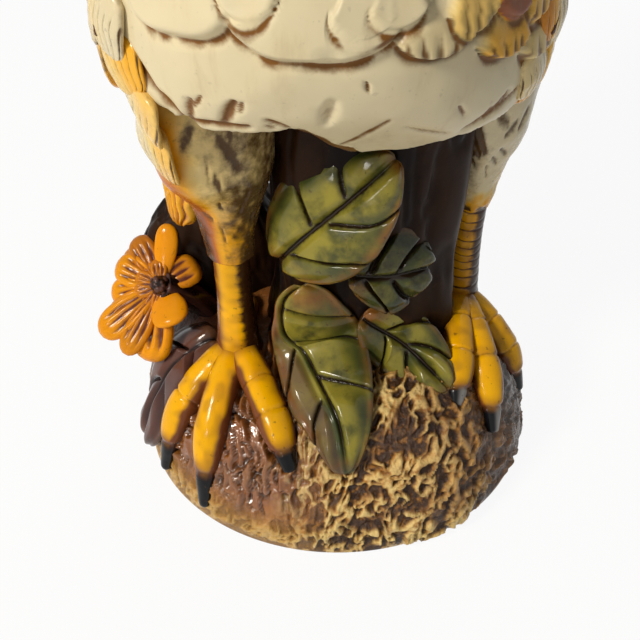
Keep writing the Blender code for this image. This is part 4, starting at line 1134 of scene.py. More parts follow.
def nicks(u, v, lines):
    """Short tool marks on a chart, each (start, end, width, depth, stain)."""
    depth, stain = 0 * u, 0 * u
    for (u0, v0), (u1, v1), width, cut, dark in lines:
        du, dv = u1 - u0, v1 - v0
        along = np.clip(((u - u0) * du + (v - v0) * dv) / (du * du + dv * dv), 0, 1)
        taper = width * (0.5 + 0.5 * np.sin(np.pi * (0.1 + 0.8 * along)))
        hit = bell(np.hypot(u - u0 - along * du, v - v0 - along * dv), taper)
        depth = np.maximum(depth, cut * hit)
        stain = np.maximum(stain, dark * hit)
    return depth, stain


TORSO_X, TORSO_Y, TORSO_Z = -0.006, 0.030, 0.235
TORSO_FRONT, TORSO_LONG, TORSO_WIDE, TORSO_TALL = -0.080, 0.215, 0.068, 0.072
BREAST_ARC = math.radians(0.105)


def breast_chart(points):
    """Azimuth from the front, in degrees toward +X, and height."""
    return np.degrees(np.arctan2(points[..., 0] - TORSO_X, TORSO_Y - points[..., 1])), points[..., 2]


share = np.linspace(0, 1, 6)
rise = 0.072 * np.maximum(0, share - 0.5)
torso = Sweep(np.stack([0 * share + TORSO_X, TORSO_FRONT + TORSO_LONG * share, TORSO_Z + rise], -1),
              TORSO_WIDE * np.array((0.80, 1, 1, 0.94, 0.72, 0.46)),
              TORSO_TALL * np.array((0.56, 0.86, 1, 0.94, 0.72, 0.46)), UP, (0.26, 0.12), 2.0, 3.6)
print("torso length", round(torso.length, 4))

# %% Breast feathers
upper_plates = [(-58 + 14.5 * i + 7 * (row % 2), 0.304 - 0.017 * row, 9.0, 0.013,
                 0.05 + 0.10 * ((3 * i + row) % 4), 0) for row in (3, 2, 1, 0) for i in range(9)]
breast_plates = [(-1.5, 0.2308, 12.5, 0.0110, 0.0, 0), (-22.5, 0.2325, 10.5, 0.0130, 0.0, 0),
                 (-10.2, 0.2392, 4.2, 0.0100, 0.02, 0), (15.4, 0.2306, 5.8, 0.0070, 0.06, 2.5),
                 (28.2, 0.2232, 6.4, 0.0080, 0.34, 2.5), (-33.5, 0.2400, 7.0, 0.0120, 0.06, 0),
                 (40.0, 0.2150, 6.5, 0.0100, 0.16, 2.5), (5.1, 0.2362, 4.8, 0.0100, 0.0, 0),
                 (9.6, 0.2390, 4.4, 0.0080, 0.02, 0), (21.1, 0.2339, 4.6, 0.0100, 0.24, 2),
                 (28.6, 0.2339, 4.2, 0.0080, 0.74, 0), (36.5, 0.2290, 5.0, 0.0100, 0.30, 2)] + upper_plates
print(len(breast_plates), "feather ends on the breast")

# %% Tool nicks and the belly's edge
belly_nicks = [((-19.0, 0.2165), (-20.8, 0.2120), 0.0009, 0.0009, 0.75),
               ((-12.3, 0.2172), (-12.9, 0.2130), 0.0010, 0.0010, 0.75),
               ((-9.4, 0.2078), (-8.2, 0.2062), 0.0010, 0.0008, 0.7),
               ((5.6, 0.2256), (5.8, 0.2231), 0.0007, 0.0009, 0.85),
               ((0.9, 0.2185), (0.0, 0.2105), 0.0022, 0.0016, 0.30),
               ((9.6, 0.2106), (3.0, 0.1955), 0.0013, 0.0004, 0.72),
               ((21.3, 0.2115), (23.2, 0.2065), 0.0008, 0.0009, 0.8),
               ((30.0, 0.2052), (27.5, 0.2010), 0.0009, 0.0009, 0.8),
               ((-35.0, 0.2225), (-28.7, 0.2110), 0.0026, 0.0016, 0.75),
               ((-28.7, 0.2110), (-25.5, 0.2062), 0.0030, 0.0018, 0.7),
               ((-25.5, 0.2062), (-22.5, 0.2010), 0.0022, 0.0018, 0.8),
               ((-22.5, 0.2045), (-12.5, 0.2062), 0.0018, 0.0018, 0.95),
               ((-21.3, 0.2140), (-23.0, 0.2050), 0.0016, 0.0015, 0.8),
               ((-13.6, 0.2165), (-16.2, 0.2075), 0.0019, 0.0017, 0.85),
               ((-9.0, 0.2105), (-6.0, 0.2070), 0.0013, 0.0012, 0.8),
               ((33.0, 0.2085), (29.0, 0.2010), 0.0012, 0.0012, 0.85),
               ((36.0, 0.2070), (25.0, 0.1985), 0.0014, 0.0012, 0.8),
               ((13.0, 0.2060), (22.0, 0.1985), 0.0010, 0.0006, 0.45)]
belly_nicks = [((a * BREAST_ARC, b), (c * BREAST_ARC, d), *rest) for (a, b), (c, d), *rest in belly_nicks]
EDGE_AT = (-60, -36, -22, -13, -4, 2, 8, 16, 25, 40, 60)
BELLY_EDGE = (0.1990, 0.2080, 0.2015, 0.2040, 0.2060, 0.1960, 0.1870, 0.1900, 0.1950, 0.1985, 0.1960)
TUCK = (0.004, 0.011, 0.013, 0.011, 0.008, 0.004, 0.002, 0.004, 0.008, 0.011, 0.006)
print(len(belly_nicks), "tool nicks")


# %% Torso
def breast_relief(t, angle, points):
    around, tall = breast_chart(points)
    edge = np.interp(around, EDGE_AT, BELLY_EDGE) + 0.0016 * noise(points, 0.008, 76)
    edge = edge + 0.0014 * noise(points, 0.0034, 77)
    under = smooth(0.0002, -0.0048, tall - edge) * smooth(0.030, 0.0, points[..., 1])
    warped = around + 1.6 * noise(points, 0.016, 71), tall + 0.0014 * noise(points, 0.012, 72)
    lift, stain, tint, ink = scallops(*warped, breast_plates)
    cut, smear = nicks(around * BREAST_ARC, tall, belly_nicks)
    # Under the belly's tucked edge the wash is partly brown stain and partly painted shade under the
    # overhang.
    low = under * np.clip(0.75 + 0.4 * noise(points, 0.010, 73), 0, 1)
    lump = rough(points, 0.026, 3, 74)
    tuck = np.interp(around, EDGE_AT, TUCK) * under
    height = 0.0042 * lift - cut + 0.0011 * lump - 0.0006 * np.minimum(stain, 1) - tuck
    ragged = np.clip(0.80 + 0.75 * noise(points * [1, 1, 0.6], 0.0042, 75), 0, 1)
    flank = 0.30 * smooth(34, 52, np.abs(around)) * smooth(0.180, 0.205, tall)
    wash = np.clip(stain * ragged + smear + 0.85 * low + 0.10 * smooth(0.1, 0.6, lump), 0, 1)
    ink = np.clip(ink * (0.75 + 0.35 * ragged), 0, 1)
    tint = np.clip(tint + flank * (1 - smooth(0.05, 0.1, tint)), 0, 1)
    return height, {"wash": wash, "tint": tint, "ink": ink}


carve("cream_torso", torso, torso.grid(240, 340, 0.12), breast_relief, cream_glaze, "torso")

# %% [markdown]
# ## Thighs and the flank plume
# The thighs are stubby cones under the belly, cream above and stained by the yellow glaze of the shanks
# below. Short dashes stand for small feathers. Beside the right thigh hangs a long amber tuft with wavy
# cuts.

# %% Thighs
DASHES, DASH_WIDE, DASH_DEEP = 60, 0.030, 0.0007


def dashes(count, seed):
    """Seeded short marks on a chart of angle and share of length."""
    draw = np.random.default_rng(seed)
    made = []
    for _ in range(count):
        u, v = draw.uniform(0, 2 * np.pi), draw.uniform(0.12, 0.95)
        end = (u + draw.uniform(-0.28, 0.28), v + draw.uniform(0.03, 0.09))
        made.append(((u, v), end, DASH_WIDE, DASH_DEEP, draw.uniform(0.35, 0.75)))
    return made


LONG_CUTS = {"right": [], "left": [((2.05, 0.74), (1.70, 0.52), 0.055, 0.0009, 0.95),
                                   ((1.90, 0.76), (1.58, 0.55), 0.045, 0.0008, 0.9)]}


def thigh_relief(side, seed):
    def relief(t, angle, points):
        cut, stain = nicks(angle, t, dashes(DASHES, seed) + LONG_CUTS[side])
        inward = -SIDES[side] * np.cos(angle)
        lump = rough(points, 0.014, 3, seed)
        grain = (noise(points * [1, 1, 0.55], 0.0022, seed + 2)
                 + 0.5 * noise(points * [1, 1, 0.5], 0.005, seed + 4))
        patch = noise(points, 0.012, seed + 6)
        down = smooth(0.75, 0.15, t + 0.12 * lump)
        if side == "right":
            outer = smooth(0.05, 0.75, -inward + 0.35 * lump)
            tint = (0.15 + 0.24 * down + outer * (0.34 + 0.16 * lump)
                    + 0.34 * bell(-inward - 0.95, 0.40) * down)
            # Darker toward the inner side: grey-brown wash, with painted shade added on that side.
            smear = smooth(-0.85, 0.40, inward + 0.25 * lump) * (0.56 + 0.26 * grain + 0.22 * patch)
            smear = smear + 0.30 * smooth(0.10, 0.85, inward + 0.2 * lump)
        else:
            outer = smooth(0.45, 0.95, -inward)
            tint = 0.04 * down + 0.24 * outer * down
            smear = smooth(-0.30, 0.50, inward + 0.3 * lump) * (0.27 + 0.10 * grain + 0.12 * patch) + 0.08
        cuff = bell(t - 0.05, 0.05) * np.clip(0.5 + 1.2 * grain, 0, 1) * (side == "left")
        tint = np.maximum(tint, 0.42 * smooth(0.24, 0.05, t + 0.08 * grain))
        wash = np.clip(stain + smear * (1 - 0.35 * smooth(0.55, 0.80, t)) + cuff, 0, 1)
        hip = 0.0090 * smooth(0.42, 0.82, t) * bell(angle - 2.3, 0.75) * (side == "right")
        return hip + 0.0014 * lump - cut - 0.0005 * cuff, {"wash": wash, "tint": np.clip(tint, 0, 1)}
    return relief


for side, (ankle_x, ankle_y) in ANKLES.items():
    knee = float(mound(ankle_x, ankle_y)) + SHANK_LENGTH
    top = max(0.182, knee + 0.038)
    rise = top - knee
    body = Sweep([(ankle_x, ankle_y, knee - 0.004), (ankle_x, ankle_y, knee + 0.3 * rise),
                  (ankle_x, ankle_y + 0.002, knee + 0.65 * rise), (ankle_x, ankle_y + 0.004, top + 0.019)],
                 (0.0087, 0.0121, 0.0190, 0.0209), (0.0090, 0.0133, 0.0209, 0.0247), FRONT, (0.05, 0.1))
    sprig(f"{side}_thigh", body, body.grid(170, 130, 0.85), thigh_relief(side, 400 + len(side)), plume_glaze)

# %% Flank plume
def plume_relief(t, angle, points):
    side = np.cos(angle)
    line = side * 3.4 + 0.75 * np.sin(t * 7 + side * 2) + 1.1 * noise(points, 0.008, 81)
    gap = np.abs(line - np.floor(line) - 0.5)
    cut = smooth(0.38, 0.5, gap)
    swell = np.cos(np.pi * np.minimum(gap, 0.5))
    tint = (0.36 + 0.20 * smooth(0.22, 0.5, gap) + 0.10 * noise(points, 0.011, 82)
            + 0.10 * smooth(0.75, 1.0, t))
    return 0.0014 * swell - 0.0006, {"wash": 0.85 * cut + 0.25 * smooth(0.2, 0.0, t), "tint": tint}


plume_top = np.array((-0.056, 0.012, 0.190))
plume = Sweep([plume_top + step for step in ((0, 0, 0), (-0.0055, -0.001, -0.027), (-0.0065, -0.003, -0.053),
                                             (-0.0085, -0.005, -0.077))],
              (0.0150, 0.0175, 0.0130, 0.0050), (0.0070, 0.0078, 0.0070, 0.0045), (-1, -0.7, 0), (0.08, 0.12))
sprig("flank_plume", plume, plume.grid(150, 90, 0.85), plume_relief, plume_glaze)

# %% [markdown]
# ## Feather coats
# Wings, neck and saddle wear rows of single feathers. One domed feather of a few dozen faces is enough,
# because the barb effect draws its cuts. The rows overlap toward the tail, as on a real bird, so each
# root is hidden.

# %% One feather
FEATHER_RINGS, FEATHER_SIDES, FEATHER_UNEVENNESS = 6, 10, 0.07


def feather_shape(name, pointed):
    """A feather of unit size with its root a third behind the origin, its tip along +Y and its face up."""
    around = 2 * np.pi * np.arange(FEATHER_SIDES) / FEATHER_SIDES
    v, a = np.meshgrid(np.linspace(0.02, 0.98, FEATHER_RINGS), around, indexing="ij")
    round_end = np.sqrt(1 - np.clip((v - 0.55) / 0.45, 0, 1) ** 2)
    sharp_end = 1 - np.clip((v - 0.35) / 0.65, 0, 1) ** 1.6
    half = 0.5 * (0.70 + 0.30 * smooth(0.0, 0.5, v)) * (pointed * sharp_end + (1 - pointed) * round_end)
    z = np.where(np.sin(a) > 0, 0.62, 0.25) * np.sin(a) * (0.4 + 0.6 * half * 2) + 0.80 * v - 0.55
    points = np.stack([half * np.cos(a), v - 0.35, z], -1)
    return tube_mesh(name, points, {"along": v, "across": np.cos(a)}, np.zeros(3))


def seats_on(body, t, angle):
    """Points and outward directions on a body."""
    t, angle = np.asarray(t, float), np.asarray(angle, float)
    here = body.at(t, angle)
    along = body.at(np.minimum(t + 0.004, 0.999), angle) - here
    out = unit(np.cross(body.at(t, angle + 0.01) - here, along))
    away = here - body.frames(t)[0]
    return here, out * np.sign((out * away).sum(-1, keepdims=True))


def coat(name, body, t, angle, toward, width, length, thick, tint, pointed, slot, seed):
    """Feathers on a body at t and angle, each lying toward a direction."""
    here, out = seats_on(body, t, angle)
    count = len(here)
    sizes = np.stack([np.broadcast_to(v, count) for v in (width, length, thick)], -1)
    turns = lying(out, np.broadcast_to(np.asarray(toward, float), (count, 3)))
    mesh = set_in_rows(name, feather_shape(name + "_feather", pointed), here, turns, sizes,
                       np.broadcast_to(tint, count), feather_glaze, FEATHER_UNEVENNESS, seed)
    return place(name, mesh, feather_glaze, slot=slot)


def staggered(rows, counts, low, high):
    """t and angle of rows with alternate rows moved half a step."""
    t, angle, row = [], [], []
    for i, (share, count) in enumerate(zip(rows, counts)):
        step = (high - low) / count
        for j in range(count):
            t.append(share)
            angle.append(low + step * (j + 0.25 + 0.5 * (i % 2)))
            row.append(i)
    return np.array(t), np.array(angle), np.array(row)


print("a feather has", FEATHER_RINGS, "rings of", FEATHER_SIDES, "points")

# %% Wings
WING_WIDE, WING_DEEP, QUILLS = 0.041, 0.0046, 8


def wing_relief(t, angle, points):
    cut = bell(noise(points * [1, 0.25, 1], 0.008, 91), 0.2)
    tint = 0.30 + 0.25 * smooth(0.3, 0.9, t)
    return 0.0004 * rough(points, 0.010, 2, 90), {"wash": 0.5 * cut, "tint": tint}


for side, sign in SIDES.items():
    hold = np.radians(np.array((6, -8, -8, 0, 10)))
    spine = torso.at(np.array((0.20, 0.38, 0.56, 0.75, 0.90)), hold if sign > 0 else np.pi - hold)
    wing = Sweep(spine, WING_WIDE * np.array((0.62, 1.0, 0.98, 0.72, 0.35)),
                 WING_DEEP * np.array((0.7, 0.9, 1, 0.9, 0.7)), (sign, 0, 0.05), (0.16, 0.2))
    sprig(f"{side}_wing", wing, wing.grid(90, 90, 0.7), wing_relief, plume_glaze)
    height = np.linspace(0.70, -0.74, QUILLS)
    long_t = 0.50 - 0.05 * np.abs(height)
    lean = np.stack([0 * height, 1 + 0 * height, -0.16 - 0.10 * height], -1)
    coat(f"{side}_wing_quills", wing, long_t, np.arccos(-sign * height), lean, 0.0150,
         0.074 - 0.010 * np.abs(height), 0.0034, 0.50 + 0.06 * np.arange(QUILLS), 0.35, "plume_glaze", 21)
    t, v, row = staggered((0.40, 0.31, 0.22, 0.13, 0.06), (7, 7, 6, 5, 4), -0.80, 0.80)
    tint = np.clip(0.44 - 0.09 * row + 0.10 * np.sin(7 * v + 3 * row), 0, 1)
    coat(f"{side}_wing_coverts", wing, t, np.arccos(-sign * v), (0, 1, -0.55), 0.0165, 0.0300 - 0.002 * row,
         0.0026, tint, 0.0, "plume_glaze", 22)

# %% [markdown]
# ## Flank feathers
# Beside the breast hang single long feathers, amber at the outer edge and cream inside, with combed cuts.
# They are too large for the barb effect, so each is carved like a leaf. Each hangs from the edge of the
# body, and the lowest lie on the right thigh.

# %% Flank feathers
# Each feather's root, middle and tip, its half width, and the tints of its outer and inner edges.
COMBED = {
    "right": (((-0.0655, -0.0490, 0.2390), (-0.0690, -0.0465, 0.2265), (-0.0690, -0.0450, 0.2150),
               0.0098, 0.00, 0.12),
              ((-0.0680, -0.0440, 0.2220), (-0.0655, -0.0478, 0.2140), (-0.0630, -0.0500, 0.2055),
               0.0110, 0.36, 0.22),
              ((-0.0610, -0.0515, 0.2110), (-0.0628, -0.0462, 0.1990), (-0.0625, -0.0385, 0.1865),
               0.0130, 0.26, 0.00),
              ((-0.0626, -0.0365, 0.1880), (-0.0622, -0.0362, 0.1760), (-0.0592, -0.0330, 0.1635),
               0.0112, 0.28, 0.02)),
    "left": (((0.0570, -0.0440, 0.2370), (0.0600, -0.0415, 0.2250), (0.0592, -0.0395, 0.2140),
              0.0090, 0.50, 0.05),
             ((0.0540, -0.0460, 0.2190), (0.0570, -0.0425, 0.2090), (0.0560, -0.0400, 0.2000),
              0.0082, 0.12, 0.00),
             ((0.0572, -0.0400, 0.2120), (0.0575, -0.0385, 0.2040), (0.0558, -0.0365, 0.1960),
              0.0072, 0.46, 0.06)),
}


def combed_relief(outer_tint, inner_tint, sign, seed):
    """Long cuts that bend with the feather, and a notched outer edge."""
    def relief(t, angle, points):
        side, top = np.cos(angle), smooth(-0.1, 0.3, np.sin(angle))
        line = side * (2.6 + t) + 0.8 * (t - 0.5) ** 2 + 0.18 * noise(points, 0.006, seed)
        cut = smooth(0.36, 0.5, np.abs(line - np.floor(line) - 0.5)) * smooth(0.15, 0.4, t) * top
        rim = np.maximum(smooth(0.90, 1.0, t), smooth(0.86, 1.0, np.abs(side)))
        outward = sign * side + 0.4 * noise(points, 0.008, seed + 1)
        tint = inner_tint + (outer_tint - inner_tint) * smooth(-0.6, 0.5, outward)
        return -0.0005 * cut + 0.0003 * noise(points, 0.006, seed + 2), {
            "wash": np.clip(0.70 * cut + 0.28 * rim, 0, 1), "tint": tint}
    return relief


for side, feathers in COMBED.items():
    sign = SIDES[side]
    for i, (*spine, half_width, outer_tint, inner_tint) in enumerate(feathers):
        body = Sweep(spine, half_width * np.array((0.8, 1.0, 0.75)), (0.0024, 0.0026, 0.0018),
                     (sign * 0.8, -0.6, 0.15), (0.15, 0.25))
        carve(f"{side}_flank_feather_{i + 1}", body, body.grid(110, 100, 0.8, 0.7),
              combed_relief(outer_tint, inner_tint, sign, 700 + 9 * i), plume_glaze)

# %% [markdown]
# ## Neck and saddle
# The neck is cream with rows of pointed hackles, darker at the shoulders. The saddle behind the wings
# wears long feathers that point to the tail, and fluff hangs under it. All are coats on the castings.

# %% Neck casting
HEAD_Y, HEAD_Z, HEAD_RADIUS = -0.052, 0.382, 0.0255
NECK_Y, NECK_Z = -0.022, 0.26524
FACE = np.array((TORSO_X, HEAD_Y, HEAD_Z))
share = np.linspace(0, 1, 5)
neck_radii = np.array((0.050, 0.0465, 0.030, 0.024, HEAD_RADIUS))
neck = Sweep(np.stack([0 * share + TORSO_X, NECK_Y + (HEAD_Y - NECK_Y) * smooth(0, 1, share),
                       NECK_Z + (HEAD_Z + HEAD_RADIUS - NECK_Z) * share], -1), neck_radii, neck_radii,
             FRONT, (0.10, 0.22))
EYES = {side: FACE + HEAD_RADIUS * np.array((0.76 * sign, -0.42, 0.18)) for side, sign in SIDES.items()}


def face_skin(points):
    """1 on the bare red skin round the eyes and cheeks."""
    gaps = [np.linalg.norm((points - eye + (0, -0.001, 0.006)) * [1, 1, 0.8], axis=-1)
            for eye in EYES.values()]
    front = smooth(HEAD_Y - 0.004, HEAD_Y - 0.018, points[..., 1]) * smooth(0.356, 0.364, points[..., 2])
    cheek = smooth(0.0165, 0.0125, np.minimum(*gaps) + 0.0015 * noise(points, 0.006, 95))
    return np.maximum(cheek, front * smooth(0.398, 0.390, points[..., 2]))


def neck_relief(t, angle, points):
    skin = face_skin(points)
    gaps = [np.linalg.norm(points - eye, axis=-1) for eye in EYES.values()]
    socket = bell(np.minimum(*gaps) - 0.0055, 0.0016)
    pebble = 1 - pits(points, 0.0022, 97)
    strand = np.sin(angle * 46 + 5 * noise(points, 0.015, 96))
    height = skin * (0.0007 + 0.0004 * pebble) + 0.0009 * socket + (1 - skin) * 0.00025 * strand
    wash = (1 - skin) * np.clip(0.25 - 0.3 * strand, 0, 1) * smooth(0.9, 0.5, t)
    wash = wash + skin * smooth(0.5, 0.2, pebble) * 0.5 + 0.6 * bell(skin - 0.5, 0.2)
    return height, {"wash": wash, "tint": 0.12 + 0.12 * smooth(0.6, 0.2, t), "skin": skin}


def head_colour(tree):
    flesh = mix(tree, times(tree, spots(tree, 180.0), 0.6), (0.400, 0.030, 0.014), (0.250, 0.014, 0.008))
    return mix(tree, mark(tree, "skin"), plumage_colour(tree), flesh)


head_glaze = glaze("head_glaze", head_colour, wash_colour=WASH_ON_CREAM, wiping=0.4, sponge=260.0,
                   pooling=0.1, specks=0.15, gloss=0.28, bump=0.15, coat=0.12)
carve("cream_neck", neck, neck.grid(190, 200, 0.8), neck_relief, head_glaze, "neck_and_head",
      slot="cream_glaze")

# %% Hackles and saddle
HACKLE_PITCH = 0.0115
rows = np.linspace(0.70, 0.12, 9)
counts = [round(2 * math.pi * float(spline(neck_radii, r)) / HACKLE_PITCH) for r in rows]
t, angle, row = staggered(rows, counts, 0, 2 * np.pi)
low = np.tile((0.0, 0.0, -1.0), (len(t), 1))
low[:, 1] = 0.12 * -np.sin(angle)
order = np.argsort(t)
t, angle, row, low = t[order], angle[order], row[order], low[order]
tint = np.clip(0.06 + 0.045 * row + 0.08 * np.sin(5 * angle), 0, 1)
coat("neck_hackles", neck, t, angle, low, 0.0128, 0.0200 + 0.0016 * row, 0.0036, tint, 0.75, "cream_glaze",
     31)
t, angle, row = staggered(np.linspace(0.90, 0.30, 8), (7, 8, 9, 9, 9, 9, 9, 9), math.radians(28),
                          math.radians(152))
tint = np.clip(0.55 - 0.055 * row + 0.08 * np.sin(9 * angle), 0, 1)
coat("saddle_feathers", torso, t, angle, (0, 1, -0.10), 0.0185, 0.0340, 0.0042, tint, 0.30, "cream_glaze", 32)

# %% Vent fluff
# The rear rows go all round the end of the body and hang down. The rows under it point back.
rear = staggered((0.985, 0.955, 0.915), (6, 11, 14), 0, 2 * math.pi)
under = staggered((0.86, 0.80, 0.73), (9, 8, 7), math.radians(172), math.radians(368))
t, angle, _ = (np.concatenate(pair) for pair in zip(rear, under))
hang = smooth(0.88, 0.92, t)
fall = np.stack([0 * t, 1 - 0.9 * hang, -0.35 - 0.65 * hang], axis=-1)
coat("vent_fluff", torso, t, angle, fall, 0.0220, 0.0320, 0.0040, 0.10 + 0.16 * hang, 0.1, "cream_glaze", 33)

# %% [markdown]
# ## Head
# Comb, wattles and ear lobes share a red glaze over a pebbled skin. The beak is horn yellow, darker to
# the tip, with a nostril cut, and each eye has an amber ring round a black pupil under a glassy coat.

# %% Red skin
def red_colour(tree):
    body = mix(tree, times(tree, spots(tree, 120.0, 4.0), 0.8), (0.450, 0.028, 0.014), (0.260, 0.012, 0.008))
    return mix(tree, times(tree, mark(tree, "warm"), 0.5), body, (0.560, 0.080, 0.020))


red_glaze = glaze("red_glaze", red_colour, wash_colour=(0.070, 0.006, 0.005), wiping=0.35, sponge=300.0,
                  gloss=0.20, bump=0.25, coat=0.2)
WATTLE_RADIUS = 0.0105


def skin_relief(seed, folds):
    """Pebbled skin with folds of a given depth."""
    def relief(t, angle, points):
        near = pits(points, 0.0021, seed)
        fold = noise(points * [1, 1, 0.35], 0.006, seed + 3)
        height = 0.00045 * smooth(0.75, 0.15, near) + folds * fold
        wash = np.clip(smooth(0.45, 0.8, near) * 0.7 + folds * 400 * np.maximum(0, -fold), 0, 1)
        return height, {"wash": wash, "warm": smooth(0.2, 0.9, t)}
    return relief


for side, sign in SIDES.items():
    hang = FACE + (sign * WATTLE_RADIUS * 0.78, -HEAD_RADIUS * 0.86, -HEAD_RADIUS * 0.45)
    wattle = Sweep([hang, hang + (0, -0.004, -0.018), hang + (0, -0.003, -0.036)],
                   WATTLE_RADIUS * np.array((0.5, 0.95, 0.9)), WATTLE_RADIUS * np.array((0.35, 0.62, 0.6)),
                   (sign, 0, 0), (0.15, 0.3))
    sprig(f"{side}_wattle", wattle, wattle.grid(90, 70, 0.5), skin_relief(500 + sign, 0.0007), red_glaze)
    lobe_at = FACE + HEAD_RADIUS * np.array((sign * 0.97, 0.28, -0.35))
    lobe = Sweep([lobe_at + (0, 0, 0.010), lobe_at, lobe_at + (0, 0, -0.012)], (0.006, 0.0075, 0.006),
                 (0.0035, 0.0040, 0.0035), (sign, 0, 0), (0.3, 0.35))
    sprig(f"{side}_ear_lobe", lobe, lobe.grid(60, 56, 0.5), skin_relief(510 + sign, 0.0004), red_glaze)

# %% Comb
COMB_LENGTH, COMB_HEIGHT, COMB_DEPTH, COMB_POINTS = 0.066, 0.044, 0.0045, 5
share, a = np.meshgrid(np.linspace(0.004, 0.996, 190), 2 * np.pi * np.arange(64) / 64, indexing="ij")
tooth = 0.62 + 0.38 * np.abs(np.sin(np.pi * COMB_POINTS * share)) ** 0.8
comb_low = HEAD_Z + 0.55 * HEAD_RADIUS - 0.004 * np.sin(np.pi * share)
comb_top = HEAD_Z + 0.55 * HEAD_RADIUS + COMB_HEIGHT * np.sin(np.pi * (0.12 + 0.80 * share)) ** 0.6 * tooth
high = (1 + np.sin(a)) / 2
ends = np.sqrt(np.clip(np.minimum(share, 1 - share) / 0.05, 0, 1))
depth = COMB_DEPTH * (1.05 - 0.45 * high) * (0.4 + 0.6 * ends)
comb = np.stack([TORSO_X + depth * np.cos(a) * np.abs(np.cos(a)) ** -0.35,
                 HEAD_Y - 0.95 * HEAD_RADIUS + COMB_LENGTH * share + 0.010 * tooth * share * high,
                 comb_low + (comb_top - comb_low) * high], -1)
comb_pit = pits(comb, 0.0022, 520)
valley = bell(np.abs(np.sin(np.pi * COMB_POINTS * share)), 0.35) * smooth(0.4, 1.0, high)
comb = comb + grid_normals(comb) * (0.0004 * smooth(0.75, 0.15, comb_pit))[..., None]
wash = np.clip(0.7 * smooth(0.45, 0.8, comb_pit) + 0.5 * valley + 0.5 * smooth(0.30, 0.1, high), 0, 1)
place("glazed_comb", tube_mesh("glazed_comb", comb, {"wash": wash, "warm": high}), red_glaze, "comb")

# %% Beak and eyes
def horn_colour(tree):
    return ramp(tree, mark(tree, "warm"), ((0.0, (0.300, 0.120, 0.020)), (0.45, (0.620, 0.330, 0.060)),
                                           (1.0, (0.240, 0.130, 0.050))))


def eye_colour(tree):
    return ramp(tree, mark(tree, "warm"), ((0.0, (0.030, 0.010, 0.006)), (0.40, (0.520, 0.200, 0.012)),
                                           (0.62, (0.500, 0.170, 0.010)), (0.70, (0.006, 0.006, 0.007))))


horn_glaze = glaze("horn_glaze", horn_colour, wash_colour=(0.040, 0.016, 0.006), gloss=0.22, bump=0.2,
                   coat=0.2)
black_glaze = glaze("black_glaze", eye_colour, wash_colour=(0.010, 0.008, 0.008), specks=0.0, pooling=0.05,
                    gloss=0.06, bump=0.05, coat=0.5)
BEAK_RADIUS, EYE_RADIUS = 0.0095, 0.0042
front = FACE + (0, -0.75 * HEAD_RADIUS, 0)
chin = front - (0, 0, 0.0081)
bills = {
    "beak_upper": Sweep([front, front + (0, -0.0143, 0.001), front + (0, -0.026, -0.008)],
                        BEAK_RADIUS * np.array((1, 0.7, 0.25)), BEAK_RADIUS * np.array((0.8, 0.62, 0.25)),
                        UP, (0.05, 0.1)),
    "beak_lower": Sweep([chin, chin + (0, -0.0104, 0), chin + (0, -0.0187, -0.002)],
                        BEAK_RADIUS * np.array((0.8, 0.6, 0.22)), BEAK_RADIUS * np.array((0.5, 0.42, 0.2)),
                        UP, (0.05, 0.1)),
}


def bill_relief(nostril):
    def relief(t, angle, points):
        both = np.maximum(bell(angle - 0.7, 0.22), bell(angle - (np.pi - 0.7), 0.22))
        hole = nostril * both * bell(t - 0.34, 0.07)
        grain = noise(points * [1, 0.3, 1], 0.0025, 530)
        keel = 0.0006 * bell(angle - np.pi / 2, 0.25) * (1 - t)
        wash = np.clip(hole + 0.2 * grain + 0.5 * smooth(0.12, 0.0, t), 0, 1)
        return keel + 0.00012 * grain - 0.0011 * hole, {"wash": wash, "warm": t}
    return relief


for node, body in bills.items():
    sprig(node, body, body.grid(80, 64, 0.7), bill_relief(float(node == "beak_upper")), horn_glaze)
for side, middle in EYES.items():
    ball = Sweep([middle + (0, s * EYE_RADIUS, 0) for s in (1, 0, -1)], [EYE_RADIUS] * 3, [EYE_RADIUS] * 3,
                 UP, (0.5, 0.5))
    look = unit(np.array((SIDES[side] * 0.9, -0.42, 0.12)))

    def eye_relief(t, angle, points):
        facing = (unit(points - middle) * look).sum(-1)
        return 0.0004 * smooth(0.75, 0.95, facing), {"wash": 0 * t, "warm": smooth(0.35, 1.0, facing)}

    sprig(f"{side}_eye", ball, ball.grid(44, 56, 0.5), eye_relief, black_glaze)

# %% [markdown]
# ## Tail
# The tail is a curved fan: a flat core with four long sickles on each side that curl back over the rump.
# Here the barbs are cut into the mesh, because the sickles are large and seen against the light.

# %% Tail shapes
TAIL_LENGTH, TAIL_WIDE, TAIL_Y, TAIL_Z, SICKLES = 0.200, 0.037, 0.105, 0.281, 4
TAIL_STEPS, SHAFT_HEIGHT = 40, 0.0009


def tail_line(share, offset=0.0):
    """Y and z on the fan's middle line at a share of its length, moved in its own plane by offset."""
    middle = share * (np.arange(TAIL_STEPS) + 0.5) / TAIL_STEPS
    heading = np.radians(82.0 - 165.0 * middle**1.7)
    y = TAIL_Y + np.cos(heading).sum() * TAIL_LENGTH * share / TAIL_STEPS
    z = TAIL_Z + np.sin(heading).sum() * TAIL_LENGTH * share / TAIL_STEPS
    return y - math.sin(heading[-1]) * offset, z + math.cos(heading[-1]) * offset


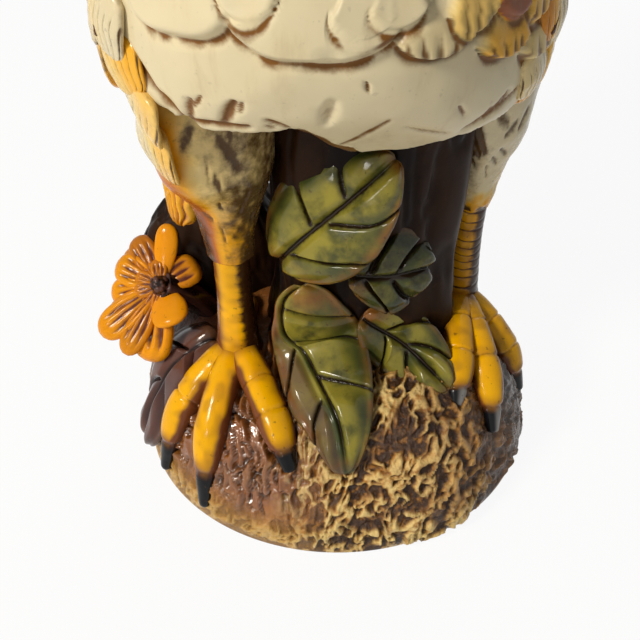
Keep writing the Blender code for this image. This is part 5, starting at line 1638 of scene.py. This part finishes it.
def vane_relief(barbs, slant, tint, seed):
    """A shaft with slanting barbs on both faces."""
    def relief(t, angle, points):
        side = np.cos(angle)
        line = (t - slant * np.abs(side) ** 0.8) * barbs + 0.35 * noise(points, 0.012, seed)
        cut = smooth(0.26, 0.48, np.abs(line - np.floor(line) - 0.5)) * smooth(0.08, 0.22, np.abs(side))
        rib = bell(side, 0.09) * smooth(1.0, 0.8, t)
        blend = tint[0] + (tint[1] - tint[0]) * t + 0.10 * noise(points, 0.02, seed + 1)
        blend = blend + 0.14 * smooth(0.55, 1.0, np.abs(side))
        wash = np.clip(0.62 * cut + 0.5 * bell(np.abs(side) - 0.14, 0.05) + 0.4 * smooth(0.12, 0.0, t), 0, 1)
        return SHAFT_HEIGHT * rib - 0.0006 * cut, {"wash": wash, "tint": np.clip(blend, 0, 1)}
    return relief


core_deep = 0.0105 * np.array((1.35, 1.1, 1.0, 0.9, 0.55))
core = Sweep([(TORSO_X, *tail_line(s)) for s in (0, 0.25, 0.5, 0.75, 0.95)],
             TAIL_WIDE * np.array((0.62, 0.86, 1.0, 0.92, 0.45)), core_deep, (1, 0, 0), (0.06, 0.2))
sprig("tail_core", core, core.grid(260, 150, 0.85), vane_relief(46, 0.10, (0.55, 0.95), 600), plume_glaze)

# %% Sickles
SICKLE_DEEP, SICKLE_GAP = 0.005, 0.002
pitch = 2 * TAIL_WIDE / SICKLES
for side, sign in SIDES.items():
    for i in range(SICKLES):
        offset = TAIL_WIDE - pitch * (i + 0.5)
        spine, widths = [], []
        for step in (0.10, 0.32, 0.55, 0.78, 1):
            share = (1.08 - 0.10 * i) * step
            spread = 0.45 + 0.55 * float(smooth(0, 1, np.array(share * 1.6)))
            y, z = tail_line(share, offset * spread)
            out = float(spline(core_deep, min(share, 0.9))) * math.sqrt(1 - (offset / TAIL_WIDE) ** 2)
            spine.append((TORSO_X + sign * (out + 0.00125), y, z))
            widths.append((pitch - SICKLE_GAP) / 2 * spread * (1 - 0.55 * max(0.0, step - 0.6) / 0.4))
        sickle = Sweep(spine, widths, [SICKLE_DEEP] * 5, (sign, 0, 0), (0.06, 0.2))
        relief = vane_relief(52, 0.07, (0.36 + 0.10 * (i % 2), 0.95 - 0.12 * i), 610 + 5 * i)
        sprig(f"{side}_sickle_{i + 1}", sickle, sickle.grid(260, 56, 0.85), relief, plume_glaze)
